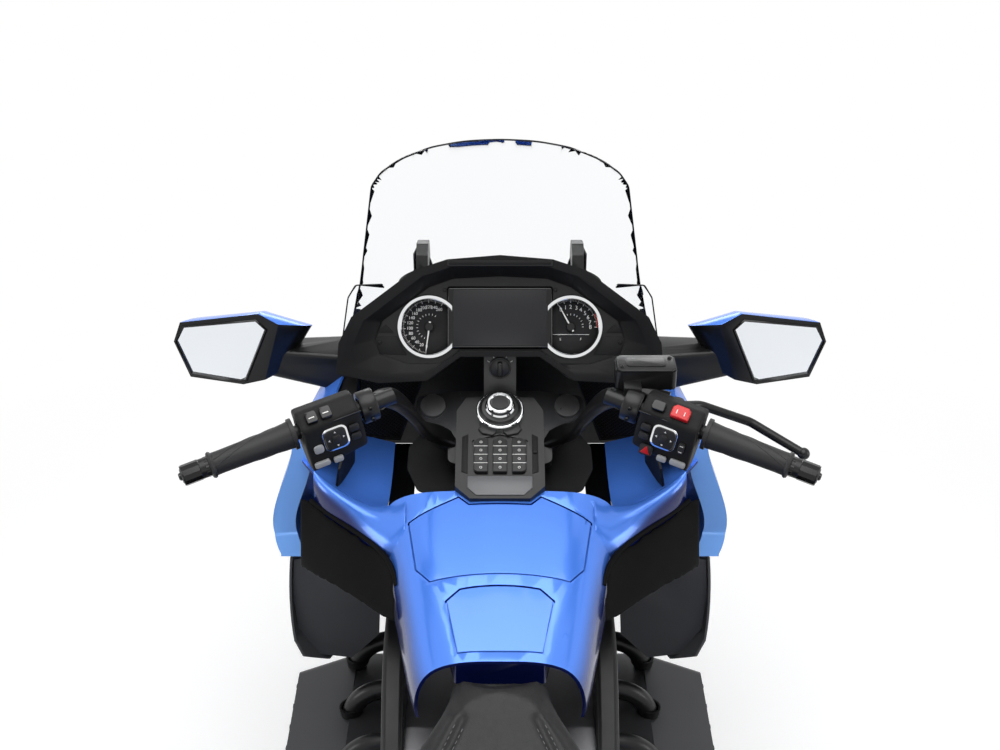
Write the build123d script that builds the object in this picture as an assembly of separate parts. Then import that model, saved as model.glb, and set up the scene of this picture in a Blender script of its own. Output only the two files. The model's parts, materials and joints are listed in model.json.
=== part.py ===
from build123d import *
import math
import os

# Touring motorcycle: a faired six-cylinder tourer with side cases, parked upright on its centre stand.
#
# Frame, millimetres: +X is the rider's right, +Y is forward, +Z is up. The origin is on the floor under the
# middle of the overall length. Panels are walls cut from lofted bodywork; every piece is its own solid.

# ---------------------------------------------------------------- driving dimensions
WHEELBASE = 1695.0
OVERALL_LENGTH = 2475.0
FRONT_TYRE_R = 320.0
FRONT_TYRE_W = 130.0
FRONT_RIM_R = 228.6
FRONT_RIM_W = 92.0
REAR_TYRE_R = 313.0
REAR_TYRE_W = 200.0
REAR_RIM_R = 203.2
REAR_RIM_W = 152.0
REAR_WHEEL_LIFT = 12.0
FLANGE_H = 14.0
CASTER_DEG = 30.5
ENGINE_HALF = 152.0
FORK_OFFSET = 68.0
FORK_LEG_X = 116.0
GAP = 0.3
FIT = 0.05
MOVING_GAP = 5.0
PANEL = 4.0

FRONT_AXLE = Vector(0, OVERALL_LENGTH / 2 - FRONT_TYRE_R, FRONT_TYRE_R)
REAR_AXLE = Vector(0, FRONT_AXLE.Y - WHEELBASE, REAR_TYRE_R + REAR_WHEEL_LIFT)
TAIL_END_Y = -OVERALL_LENGTH / 2

# ---------------------------------------------------------------- small helpers


def side_plane(x):
    """Plane across the vehicle at x: local x runs forward (+Y), local y runs up (+Z)."""
    return Plane(origin=(x, 0, 0), x_dir=(0, 1, 0), z_dir=(1, 0, 0))


def cross_plane(y):
    """Plane square to the vehicle's length at y: local x is +X, local y is +Z."""
    return Plane(origin=(0, y, 0), x_dir=(1, 0, 0), z_dir=(0, -1, 0))


def outline(points, radius=0.0):
    """Flat face from a closed list of corners, all rounded by radius."""
    face = make_face(Polyline(*points, close=True))
    return fillet(face.vertices(), radius) if radius else face


def slab(points, x_low, x_high, radius=0.0):
    """Side outline of (y, z) corners, extruded across the vehicle from x_low to x_high."""
    return extrude(side_plane(x_low) * outline(points, radius), x_high - x_low)


def cross_slab(points, y_front, y_back, radius=0.0):
    """Cross-section of (x, z) corners, extruded rearward from y_front to y_back."""
    return extrude(cross_plane(y_front) * outline(points, radius), y_front - y_back)


def plan_slab(points, z_low, z_high, radius=0.0):
    """Plan outline of (x, y) corners, extruded up from z_low to z_high."""
    return extrude(Plane.XY.offset(z_low) * outline(points, radius), z_high - z_low)


def offset_line(line, distance):
    """Open line of flat points moved square to itself, to the right of its direction."""
    moved = []
    for i, (x, z) in enumerate(line):
        x0, z0 = line[max(i - 1, 0)]
        x1, z1 = line[min(i + 1, len(line) - 1)]
        tx, tz = x1 - x0, z1 - z0
        n = math.hypot(tx, tz)
        moved.append((x + distance * tz / n, z - distance * tx / n))
    return moved


def smooth_chain(points, creases=()):
    """Edges through the points: straight over two points, one spline over more, broken at each crease."""
    marks = [0, *creases, len(points) - 1]
    edges = []
    for low, high in zip(marks, marks[1:]):
        run = points[low:high + 1]
        edges.append(Spline(*run) if len(run) > 2 else Line(*run))
    return edges


def wall_face(line, wall, creases=(), inset=0.0):
    """Flat face between a section line and its copy moved by the wall."""
    near = offset_line(line, inset) if inset else list(line)
    far = offset_line(line, inset + wall)
    back = far[::-1]
    flipped = [len(line) - 1 - c for c in creases][::-1]
    edges = smooth_chain(near, creases) + [Line(near[-1], far[-1])]
    edges += smooth_chain(back, flipped) + [Line(far[0], near[0])]
    return make_face(edges)


def wall_loft(stations, wall, creases=(), inset=0.0):
    """Panel of the given wall through open section lines (y, [(x, z), ...]), with creases at those corners."""
    return loft([cross_plane(y) * wall_face(line, wall, creases, inset) for y, line in stations])


def side_loft(stations, wall, creases=()):
    """Panel of the given wall through open section lines (x, [(y, z), ...]), with creases at those corners."""
    return loft([side_plane(x) * wall_face(line, wall, creases) for x, line in stations])


def both_sides(piece):
    """The right-hand piece and its mirror image, as separate solids."""
    return Compound(children=[*piece.solids(), *mirror(piece, about=Plane.YZ).solids()])


def rod(start, end, radius):
    """Round bar from start to end."""
    start, end = Vector(*start), Vector(*end)
    axis = end - start
    return extrude(Plane(origin=start, z_dir=axis) * Circle(radius), axis.length)


def tube_path(points, bend, radius):
    """Round bar along straight runs joined by bends."""
    path = FilletPolyline(*points, radius=bend)
    return sweep(Plane(origin=path @ 0, z_dir=path % 0) * Circle(radius), path=path)


def carve(piece, *others):
    """The piece with its neighbours' space taken out of it, without loose crumbs."""
    for other in others:
        piece = piece - other
    solids = piece.solids()
    largest = max(s.volume for s in solids)
    kept = [s for s in solids if s.volume > 0.02 * largest]
    return Compound(children=kept) if len(kept) > 1 else kept[0]


NODES = {}


def node(name, shape):
    """Keeps a finished piece under its node name."""
    NODES[name] = shape
    return shape


# ---------------------------------------------------------------- steering frame
STEER = math.radians(CASTER_DEG)
STEER_UP = Vector(0, -math.sin(STEER), math.cos(STEER))
STEER_BACK = Vector(0, -math.cos(STEER), -math.sin(STEER))


def fork_point(s, x=0.0, back=0.0):
    """Point at s up the fork from the front axle, x to the right and back behind the fork legs' plane."""
    return FRONT_AXLE + STEER_UP * s + STEER_BACK * back + Vector(x, 0, 0)


def fork_plane(s, back=0.0):
    """Plane square to the fork at s: local x is +X, local y points forward."""
    return Plane(origin=fork_point(s, 0, back), x_dir=(1, 0, 0), z_dir=STEER_UP)


STEM_R = 20.0
FORK_TUBE_R = 21.5
SLIDER_R = 27.0
SLIDER_TOP_S = 300.0
AXLE_HOLE_R = 7.5
HEAD_PIPE_R = 34.0
LOWER_CLAMP_S = 478.0
UPPER_CLAMP_S = 668.0
CLAMP_T = 30.0
FORK_TOP_S = 706.0

# ---------------------------------------------------------------- wheels


def tyre(axle, radius, width, rim_radius, rim_width):
    """Tyre ring with a round crown, its beads seated between the rim's flanges."""
    bead = rim_radius + GAP
    seat, lip = rim_width / 2 - GAP, bead + FLANGE_H + 2
    half, wall = width / 2, 11.0
    shoulder = radius - 0.24 * width
    side = (lip + shoulder) / 2
    crown = Spline((-seat, lip), (-half, side), (-half * 0.84, shoulder + 10), (0, radius),
                   (half * 0.84, shoulder + 10), (half, side), (seat, lip))
    outer = make_face([crown, Line((seat, lip), (seat, bead)), Line((seat, bead), (-seat, bead)),
                       Line((-seat, bead), (-seat, lip))])
    inner_seat, inner_half = seat - wall, half - wall
    arch = Spline((-inner_seat, lip), (-inner_half, side), (0, radius - wall - 3), (inner_half, side),
                  (inner_seat, lip))
    air = make_face([arch, Line((inner_seat, lip), (inner_seat, bead - 1)),
                     Line((inner_seat, bead - 1), (-inner_seat, bead - 1)),
                     Line((-inner_seat, bead - 1), (-inner_seat, lip))])
    section = Plane(origin=axle, x_dir=(1, 0, 0), z_dir=(0, -1, 0)) * (outer - air)
    return revolve(section, Axis(axle, (1, 0, 0)), 360)


def ring(axle, x_low, x_high, outer_r, inner_r):
    """Flat ring about the axle between x_low and x_high."""
    plane = Plane(origin=(x_low, axle.Y, axle.Z), x_dir=(0, 1, 0), z_dir=(1, 0, 0))
    return extrude(plane * (Circle(outer_r) - Circle(inner_r)), x_high - x_low)


def cast_wheel(axle, rim_radius, rim_width, hub_r, hub_half, bore_r, spokes, spoke_w):
    """Cast wheel: dished rim barrel with two flanges, hub and paired spokes."""
    half = rim_width / 2
    barrel, tip = rim_radius - 24, rim_radius + FLANGE_H
    seat = [(half + 8, tip), (half, tip), (half, rim_radius), (half - 22, rim_radius - 4), (half - 34, barrel + 7)]
    well = [(half - 36, barrel), (half - 22, rim_radius - 13), (half + 8, rim_radius - 8)]
    profile = [(-x, r) for x, r in seat] + seat[::-1] + well[::-1] + [(-x, r) for x, r in well]
    section = Plane(origin=axle, x_dir=(1, 0, 0), z_dir=(0, -1, 0)) * outline(profile)
    wheel = revolve(section, Axis(axle, (1, 0, 0)), 360)
    wheel += ring(axle, -hub_half, hub_half, hub_r, bore_r)
    plane = Plane(origin=axle, x_dir=(0, 1, 0), z_dir=(1, 0, 0))
    reach = barrel + 3
    for k in range(spokes):
        for lean in (-1, 1):
            arm = outline([
                (hub_r - 6, lean * 4), (hub_r - 6, lean * (4 + spoke_w)),
                (reach, lean * (spoke_w * 1.9)), (reach, lean * (spoke_w * 1.1)),
            ])
            turned = plane * Rot(0, 0, 360 / spokes * k) * arm
            wheel += extrude(turned, 15, both=True)
    return wheel


def brake_disc(axle, x_mid, outer_r, inner_r, thickness, hub_r, hub_x, arms):
    """Brake disc with its carrier arms back to the hub."""
    low, high = x_mid - thickness / 2, x_mid + thickness / 2
    disc = ring(axle, low, high, outer_r, inner_r)
    plane = Plane(origin=(x_mid, axle.Y, axle.Z), x_dir=(0, 1, 0), z_dir=(1, 0, 0))
    for k in range(arms):
        arm = Rot(0, 0, 360 / arms * k) * Pos((inner_r + hub_r) / 2, 0) * Rectangle(inner_r - hub_r + 16, 16)
        disc += extrude(plane * arm, thickness / 2, both=True)
    disc += ring(axle, min(hub_x, low), max(hub_x, high), hub_r, hub_r - 10)
    for k in range(12):
        a = math.radians(30 * k)
        mid = (outer_r + inner_r) / 2
        hole = Pos(mid * math.cos(a), mid * math.sin(a)) * Circle(5)
        disc -= extrude(plane * hole, thickness, both=True)
    return disc


FRONT_HUB_HALF = 60.0
REAR_HUB_HALF = 78.0
AXLE_R = 13.0
AXLE_BORE_R = AXLE_R + FIT
REAR_AXLE_R = 27.0
REAR_AXLE_BORE_R = REAR_AXLE_R + FIT
DISC_R = 160.0
DISC_X = 80.5
DISC_T = 5.0


def front_wheel():
    wheel = cast_wheel(FRONT_AXLE, FRONT_RIM_R, FRONT_RIM_W, 40, FRONT_HUB_HALF, AXLE_BORE_R, 5, 15)
    for side in (-1, 1):
        wheel += brake_disc(FRONT_AXLE, side * DISC_X, DISC_R, DISC_R - 38, DISC_T, 40, side * 50, 10)
    return wheel


def rear_wheel():
    wheel = cast_wheel(REAR_AXLE, REAR_RIM_R, REAR_RIM_W, 62, REAR_HUB_HALF, REAR_AXLE_BORE_R, 5, 17)
    wheel += brake_disc(REAR_AXLE, -96, 155, 115, 7, 62, -70, 8)
    return wheel


# ---------------------------------------------------------------- front fork


def fork():
    """Fork legs with their sliders, joined by the hollow front axle."""
    piece = rod(FRONT_AXLE + Vector(-FORK_LEG_X - 22, 0, 0), FRONT_AXLE + Vector(FORK_LEG_X + 22, 0, 0), AXLE_R)
    for side in (-1, 1):
        x = side * FORK_LEG_X
        piece += rod(fork_point(-34, x), fork_point(SLIDER_TOP_S, x), SLIDER_R)
        piece += rod(fork_point(SLIDER_TOP_S, x), fork_point(SLIDER_TOP_S + 18, x), SLIDER_R + 2)
        piece += rod(fork_point(SLIDER_TOP_S + 18, x), fork_point(FORK_TOP_S, x), FORK_TUBE_R)
        piece += rod(FRONT_AXLE + Vector(side * (FRONT_HUB_HALF + GAP), 0, 0), FRONT_AXLE + Vector(x, 0, 0), 19)
    bore = rod(FRONT_AXLE + Vector(-200, 0, 0), FRONT_AXLE + Vector(200, 0, 0), AXLE_HOLE_R)
    return piece - bore


def clamp_plate(s):
    """One fork clamp: a plate round both legs and the steering stem."""
    corners = [
        (-FORK_LEG_X - 29, -28), (-FORK_LEG_X - 29, 22), (-70, 32), (70, 32), (FORK_LEG_X + 29, 22),
        (FORK_LEG_X + 29, -28), (46, -FORK_OFFSET - 38), (-46, -FORK_OFFSET - 38),
    ]
    plate = extrude(fork_plane(s) * outline(corners, 12), CLAMP_T)
    for side in (-1, 1):
        x = side * FORK_LEG_X
        plate -= rod(fork_point(s - 1, x), fork_point(s + CLAMP_T + 1, x), FORK_TUBE_R + FIT)
    return plate


def triple_clamps():
    """Lower and upper fork clamps joined by the steering stem."""
    stem = rod(fork_point(LOWER_CLAMP_S, 0, FORK_OFFSET), fork_point(UPPER_CLAMP_S + 5, 0, FORK_OFFSET), STEM_R)
    return clamp_plate(LOWER_CLAMP_S) + clamp_plate(UPPER_CLAMP_S) + stem


# The fender covers the tyre between these angles, counted from straight ahead over the top.
FENDER_FROM = 22.0
FENDER_TO = 152.0


def front_fender():
    """Fender: a crowned channel over the tyre with stays to the fork sliders."""
    crown = FRONT_TYRE_R + 20
    half = 80.0
    line = [(-half, 262), (-half, crown - 30), (-half + 34, crown - 6), (0, crown), (half - 34, crown - 6),
            (half, crown - 30), (half, 262)]
    inner = [(x * (half - 3.5) / half, r - 3.5 if r > 262 else r) for x, r in line]
    place = Plane(origin=FRONT_AXLE, x_dir=(1, 0, 0), z_dir=(0, -1, 0))
    piece = revolve(place * outline(line + inner[::-1]), Axis(FRONT_AXLE, (1, 0, 0)), 360)
    far = 600.0
    y, z = FRONT_AXLE.Y, FRONT_AXLE.Z
    a, b = math.radians(FENDER_FROM), math.radians(FENDER_TO)
    keep = slab([
        (y, z), (y + far * math.cos(a), z + far * math.sin(a)), (y + far * 0.8, z + far), (y - far * 0.8, z + far),
        (y + far * math.cos(b), z + far * math.sin(b)),
    ], -half - 10, half + 10)
    trim = slab([(y - 70, z), (y + 120, z), (y + 190, z + 215), (y + 40, z + 285), (y - 40, z + 285),
                 (y - 190, z + 215)], -half - 10, half + 10, 12)
    piece = piece & keep
    piece = piece - trim
    for side in (-1, 1):
        low, high = sorted((side * (half - 3.5), side * (FORK_LEG_X - 20)))
        piece += extrude(
            Plane(origin=(low, 0, 0), x_dir=(0, 1, 0), z_dir=(1, 0, 0))
            * Pos(fork_point(292).Y, fork_point(292).Z) * Circle(15),
            high - low,
        )
    return carve(piece, NODES["fork"])


def front_calipers():
    """Radial brake calipers behind the fork legs, straddling the discs."""
    solids = []
    for side in (-1, 1):
        plane = Plane(origin=FRONT_AXLE + Vector(side * 58, 0, 0), x_dir=STEER_BACK, z_dir=(side, 0, 0))
        body = extrude(plane * Pos(136, 0) * fillet(Rectangle(96, 124).vertices(), 16), 50)
        slot = ring(FRONT_AXLE, *sorted((side * (DISC_X - 8), side * (DISC_X + 8))), DISC_R + 6, 40)
        body = body - slot
        for s in (-44, 44):
            body = body + rod(fork_point(s, side * 99, 16), fork_point(s, side * 99, 96), 9)
        solids.append(carve(body, NODES["fork"]))
    return Compound(children=[s for b in solids for s in b.solids()])


# ---------------------------------------------------------------- handlebar and controls
BAR_OUT = Vector(462, 165, 1046)
BAR_IN = Vector(160, 290, 1108)
BAR_DIR = (BAR_IN - BAR_OUT).normalized()
BAR_LEN = (BAR_IN - BAR_OUT).length
BAR_R = 11.0
GRIP_START = 42.0
GRIP_END = 174.0
HOUSING_START = 180.0
HOUSING_END = 272.0


def bar_point(s):
    """Point at s along the right-hand bar, from its outer end inward."""
    return BAR_OUT + BAR_DIR * s


def bar_frame(s):
    """Plane square to the right-hand bar at s: local x points back towards the rider's side, local y up."""
    back = Vector(0, 0, 1).cross(BAR_DIR).normalized()
    if back.Y > 0:
        back = back * -1
    return Plane(origin=bar_point(s), x_dir=back, z_dir=BAR_DIR)


def handlebar():
    """Cast yoke on the upper clamp with an arm and a bar tube to each side."""
    yoke_s = UPPER_CLAMP_S + CLAMP_T
    yoke = extrude(fork_plane(yoke_s, FORK_OFFSET) * outline(
        [(-88, -46), (-88, 10), (-30, 34), (30, 34), (88, 10), (88, -46), (40, -62), (-40, -62)], 10), 20)
    stations = [
        (fork_point(yoke_s + 12, 78, FORK_OFFSET + 4), Vector(1, -0.1, 0.35), 34, 16),
        (fork_point(765, 116, FORK_OFFSET + 14), STEER_UP + Vector(0.35, 0, 0), 32, 18),
        (fork_point(850, 131, FORK_OFFSET + 41), STEER_UP + Vector(0.15, -0.15, 0), 21, 16),
        (fork_point(925, 152, FORK_OFFSET + 50), STEER_UP + Vector(0.2, -0.2, 0), 26, 19),
        (bar_point(BAR_LEN - 26), STEER_UP + Vector(0.15, -0.3, 0), 28, 21),
    ]
    faces = []
    for centre, direction, wide, thick in stations:
        plane = Plane(origin=centre, x_dir=Vector(0, 1, 0).cross(direction).cross(direction), z_dir=direction)
        faces.append(plane * fillet(Rectangle(wide, thick).vertices(), 6))
    arm = loft(faces)
    half = arm + rod(bar_point(0), bar_point(BAR_LEN), BAR_R)
    half += rod(bar_point(HOUSING_END + 1), bar_point(BAR_LEN), 12.5)
    half += rod(bar_point(0), bar_point(GRIP_START - 1), 15)
    half = half - rod(bar_point(-1), bar_point(16), 4)
    return carve(yoke + half + mirror(half, about=Plane.YZ), NODES["triple_clamps"])


def grips():
    """Rubber grips with an end flange."""
    grip = rod(bar_point(GRIP_START), bar_point(GRIP_END), 16.5)
    grip += rod(bar_point(GRIP_END - 6), bar_point(GRIP_END), 24)
    grip += rod(bar_point(GRIP_START), bar_point(GRIP_START + 5), 18)
    return both_sides(grip - rod(bar_point(0), bar_point(BAR_LEN), BAR_R + FIT))


def switch_housings():
    """Handlebar switch boxes, wider at the face that the rider sees."""
    near = bar_frame(HOUSING_START)
    far_end = bar_frame(HOUSING_END)
    face_a = near * outline([(34, -58), (36, 20), (6, 37), (-26, 27), (-30, -28), (-4, -62)], 8)
    face_b = far_end * outline([(30, -48), (31, 20), (5, 34), (-26, 26), (-28, -24), (-4, -50)], 8)
    box = loft([face_a, face_b]) - rod(bar_point(0), bar_point(BAR_LEN), BAR_R + FIT)
    return both_sides(carve(box, NODES["handlebar"]))


# ---------------------------------------------------------------- fairing surfaces
# Section lines of the right-hand fairing, from its upper edge down: (y, [(x, z), ...]).
SIDE_LINES = [
    (1005, [(60, 905), (98, 872), (116, 826), (112, 788), (88, 752)]),
    (930, [(120, 958), (166, 902), (192, 836), (184, 768), (150, 712)]),
    (820, [(206, 1002), (240, 950), (272, 842), (262, 728), (232, 640)]),
    (700, [(258, 1004), (288, 962), (322, 836), (312, 712), (275, 570)]),
    (600, [(262, 1000), (306, 958), (346, 826), (334, 712), (292, 545)]),
    (500, [(280, 978), (328, 946), (368, 812), (354, 722), (308, 520)]),
    (420, [(300, 940), (343, 926), (381, 790), (366, 739), (318, 500)]),
    (370, [(306, 906), (350, 892), (388, 770), (372, 736), (322, 495)]),
]
SIDE_CREASES = (1, 4)
FLANK_SWELL = 3.0
SEAM_Y = 900.0
WING_REAR = [(424, 945), (404, 770), (382, 737)]
WING_LOW = [(480, 690), (560, 648), (660, 640), (780, 662)]
TOP_SEAM_Y = 848.0
TOP_SEAM_Z = 962.0
SIDE_CUT = WING_REAR + WING_LOW + [
    (SEAM_Y, 735), (SEAM_Y, TOP_SEAM_Z - GAP), (TOP_SEAM_Y - GAP, TOP_SEAM_Z - GAP), (TOP_SEAM_Y - GAP, 1010),
    (700, 1012), (560, 1002),
]
FLANGE = 38.0
FLANGE_T = 4.0


def side_lines():
    """Fairing sections with a point halfway down the flank, which keeps it nearly flat."""
    lines = []
    for y, line in SIDE_LINES:
        (x1, z1), (x2, z2) = line[1:3]
        lines.append((y, line[:2] + [((x1 + x2) / 2 + FLANK_SWELL, (z1 + z2) / 2)] + line[2:]))
    return lines


def side_fairings():
    """Painted side panels with a swept rear edge and a flange turned in along it."""
    lines = side_lines()
    skin = wall_loft(lines, PANEL, SIDE_CREASES) & slab(SIDE_CUT, 0, 500)
    strip = WING_REAR + [(y + FLANGE_T, z + 1) for y, z in WING_REAR[::-1]]
    flange = wall_loft(lines, FLANGE, SIDE_CREASES) & slab(strip, 0, 500)
    return both_sides(carve(skin + flange, NODES["main_frame"]))


def nose_stations():
    """Section lines of the whole nose, from the right lower edge over the top to the left."""
    stations = []
    for y, line in side_lines()[:3]:
        crown = (0, line[0][1] + 16)
        stations.append((y, line[::-1] + [crown] + [(-x, z) for x, z in line]))
    return stations


NOSE_CREASES = (1, 4, 5, 6, 7, 8, 11)
LAMP_CUT = [(1030, 806), (1030, 850), (SEAM_Y + 14, 896), (SEAM_Y + 8, 868), (950, 818)]
LAMP_INNER_X = 34.0
NOSE_KEEP = [
    (1040, 700), (1040, 1030), (TOP_SEAM_Y, 1030), (TOP_SEAM_Y, TOP_SEAM_Z), (SEAM_Y + GAP, TOP_SEAM_Z),
    (SEAM_Y + GAP, 700),
]


def nose_shape(wall):
    """Nose skin of the given wall with its front closed by a plate as thick."""
    stations = nose_stations()
    y_front, line = stations[0]
    skin = wall_loft(stations, -wall, NOSE_CREASES)
    return skin + cross_slab(line, y_front + GAP, y_front - wall)


def front_cowl():
    """Nose cowl over the front wheel with an opening for each headlight."""
    keep = slab(NOSE_KEEP, -300, 300)
    lamp_hole = slab(LAMP_CUT, LAMP_INNER_X, 300) + slab(LAMP_CUT, -300, -LAMP_INNER_X)
    return carve((nose_shape(PANEL) & keep) - lamp_hole)


def headlights():
    """Swept lamp units, flush in the nose."""
    shape = nose_shape(26) & slab(LAMP_CUT, LAMP_INNER_X, 300)
    return both_sides(carve(shape))


# ---------------------------------------------------------------- windscreen
# Horizontal sections of the screen: (z, half width, y at the edge, y at the middle).
SCREEN_SECTIONS = [(985, 270, 700, 850), (1190, 236, 632, 726), (1400, 205, 566, 604)]
SCREEN_T = 4.0


def windscreen():
    """Tall curved screen with rounded upper corners."""
    faces = []
    for z, half, y_edge, y_mid in SCREEN_SECTIONS:
        back_edge, back_mid = y_edge - SCREEN_T, y_mid - SCREEN_T
        rim = [
            ThreePointArc((-half, y_edge), (0, y_mid), (half, y_edge)), Line((half, y_edge), (half, back_edge)),
            ThreePointArc((half, back_edge), (0, back_mid), (-half, back_edge)),
            Line((-half, back_edge), (-half, y_edge)),
        ]
        faces.append(Plane.XY.offset(z) * make_face(rim))
    sheet = loft(faces)
    left = [(-262, 1006), (-249, 1075), (-225, 1213), (-208, 1318), (-190, 1345), (-110, 1384), (0, 1395)]
    corners = left + [(-x, z) for x, z in left[-2::-1]]
    edge = smooth_chain(corners, (3, len(corners) - 4)) + [Line(corners[-1], corners[0])]
    cut = extrude(cross_plane(1000) * make_face(edge), 600)
    return carve(sheet & cut)


def screen_posts():
    """Lift posts that carry the screen at each side of the instrument hood."""
    post = slab([(600, 1120), (700, 1090), (720, 1140), (702, 1176), (660, 1188), (640, 1176), (620, 1140)],
                122, 142, 5)
    return both_sides(carve(post, NODES["windscreen"], NODES["instrument_hood"]))


def wind_deflectors():
    """Small clear plates beside the screen's foot."""
    plate = cross_slab([(196, 1118), (248, 1116), (262, 1092), (276, 1010), (278, 985), (244, 985)], 648, 645, 5)
    return both_sides(carve(plate, NODES["windscreen"], NODES["side_fairings"], NODES["instrument_hood"]))


# ---------------------------------------------------------------- instruments
DASH_TILT = 28.0
DASH_CENTRE = Vector(0, 547, 1104)


def facing(tilt):
    """Direction towards the rider, tipped up by the tilt in degrees."""
    a = math.radians(tilt)
    return Vector(0, -math.cos(a), math.sin(a))


def dash_plane(out=0.0):
    """Plane of the instrument face, out towards the rider: local x is +X, local y up the face."""
    normal = facing(DASH_TILT)
    return Plane(origin=DASH_CENTRE + normal * out, x_dir=(1, 0, 0), z_dir=normal)


def rim_plane(out=0.0):
    """Plane of the hood's open edge, steeper than the instruments so that its top overhangs them."""
    return Plane(origin=DASH_CENTRE + facing(DASH_TILT) * HOOD_OUT + facing(RIM_TILT) * out, x_dir=(1, 0, 0),
                 z_dir=facing(RIM_TILT))


def mirrored_outline(half):
    """Closed corner list from the right half, given from the top middle round to the bottom middle."""
    return half + [(-x, y) for x, y in half[::-1] if x > 0]


HOOD_RIM = [(0, 105), (86, 98), (141, 80), (245, 2), (267, -42), (272, -94), (202, -110), (122, -106), (66, -65),
            (0, -65)]
HOOD_LIP = [(0, 92), (80, 86), (128, 70), (226, -4), (246, -46), (250, -84), (198, -98), (128, -96), (66, -56),
            (0, -56)]
FACE_EDGE = [(0, 70), (78, 66), (118, 52), (196, -4), (208, -36), (200, -60), (152, -76), (98, -75), (66, -51),
             (0, -51)]
RIM_TILT = 16.7
HOOD_OUT = 24.0
HOOD_BACK = -62.0


def instrument_hood():
    """Deep angular hood round the instruments, closed behind them."""
    outer = loft([
        rim_plane() * outline(mirrored_outline(HOOD_RIM)),
        dash_plane(HOOD_BACK) * outline(mirrored_outline([(x * 0.93, y * 0.94) for x, y in HOOD_RIM])),
    ])
    recess = loft([
        rim_plane(1) * outline(mirrored_outline(HOOD_LIP)),
        dash_plane(0) * outline(mirrored_outline(FACE_EDGE)),
    ])
    pocket = extrude(dash_plane(-24) * outline(mirrored_outline(FACE_EDGE)), 24.5)
    deck = loft([
        cross_plane(600) * outline([(-150, 1090), (-130, 1172), (130, 1172), (150, 1090)]),
        cross_plane(700) * outline([(-196, 1010), (-176, 1086), (176, 1086), (196, 1010)]),
        cross_plane(776) * outline([(-150, 990), (-130, 1020), (130, 1020), (150, 990)]),
    ])
    return outer + deck - recess - pocket


GAUGE_X = 118.0
GAUGE_UP = -14.0
GAUGE_R = 53.0


def instrument_panel():
    """Instrument face: two round gauges beside a wide screen."""
    edge = [(x * 0.998, y * 0.998) for x, y in FACE_EDGE]
    panel = extrude(dash_plane(-24) * outline(mirrored_outline(edge)), 20)
    frame = extrude(dash_plane(-12) * Pos(0, 1) * Rectangle(170, 100), 11)
    panel = panel + frame - extrude(dash_plane(-3) * Pos(0, 1) * Rectangle(156, 94), 6)
    for side in (-1, 1):
        place = dash_plane(-16) * Pos(side * GAUGE_X, GAUGE_UP)
        panel = panel - extrude(place * Circle(GAUGE_R - 3), 30)
        panel = panel + extrude(place * (Circle(GAUGE_R) - Circle(GAUGE_R - 6)), 18)
    return panel


# ---------------------------------------------------------------- mirrors
GLASS_OUTLINE = [(542, 1064), (527, 1092), (405, 1104), (389, 1086), (430, 990), (440, 985), (522, 1001)]
MIRROR_Y = 540.0
GLASS_T = 3.0


def grown(points, k, shift=(0, 0)):
    """Corners scaled about their middle, then moved."""
    cx = sum(p[0] for p in points) / len(points)
    cy = sum(p[1] for p in points) / len(points)
    return [(cx + (x - cx) * k + shift[0], cy + (y - cy) * k + shift[1]) for x, y in points]


def mirrors():
    """Mirror housings on their stalks."""
    rim = [(545, 1064), (531, 1100), (400, 1116), (368, 1096), (398, 990), (436, 981), (524, 996)]
    mid = [(530, 1058), (505, 1092), (395, 1104), (322, 1076), (362, 1002), (430, 984), (500, 998)]
    back = [(480, 1046), (462, 1062), (405, 1070), (350, 1058), (372, 1014), (420, 1000), (462, 1006)]
    shell = loft([
        cross_plane(MIRROR_Y) * outline(rim), cross_plane(MIRROR_Y + 34) * outline(mid),
        cross_plane(MIRROR_Y + 84) * outline(back),
    ])
    shell -= cross_slab(grown(GLASS_OUTLINE, 1.012), MIRROR_Y + 6, MIRROR_Y - 1)
    stalk = loft([
        Plane(origin=(400, 578, 1014), x_dir=(0, 1, 0), z_dir=(1, 0, 0)) * fillet(Rectangle(46, 50).vertices(), 8),
        Plane(origin=(240, 590, 990), x_dir=(0, 1, 0), z_dir=(1, 0, 0)) * fillet(Rectangle(84, 78).vertices(), 8),
    ])
    piece = carve(shell + stalk, NODES["side_fairings"], NODES["instrument_hood"], NODES["windscreen"],
                  NODES["wind_deflectors"])
    return both_sides(max(piece.solids(), key=lambda s: s.volume))


def mirror_glasses():
    """Mirror glasses, seated in the housings."""
    return both_sides(cross_slab(GLASS_OUTLINE, MIRROR_Y + 6, MIRROR_Y + 6 - GLASS_T))


# ---------------------------------------------------------------- frame and engine
PIVOT = Vector(0, -210, 400)


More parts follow.
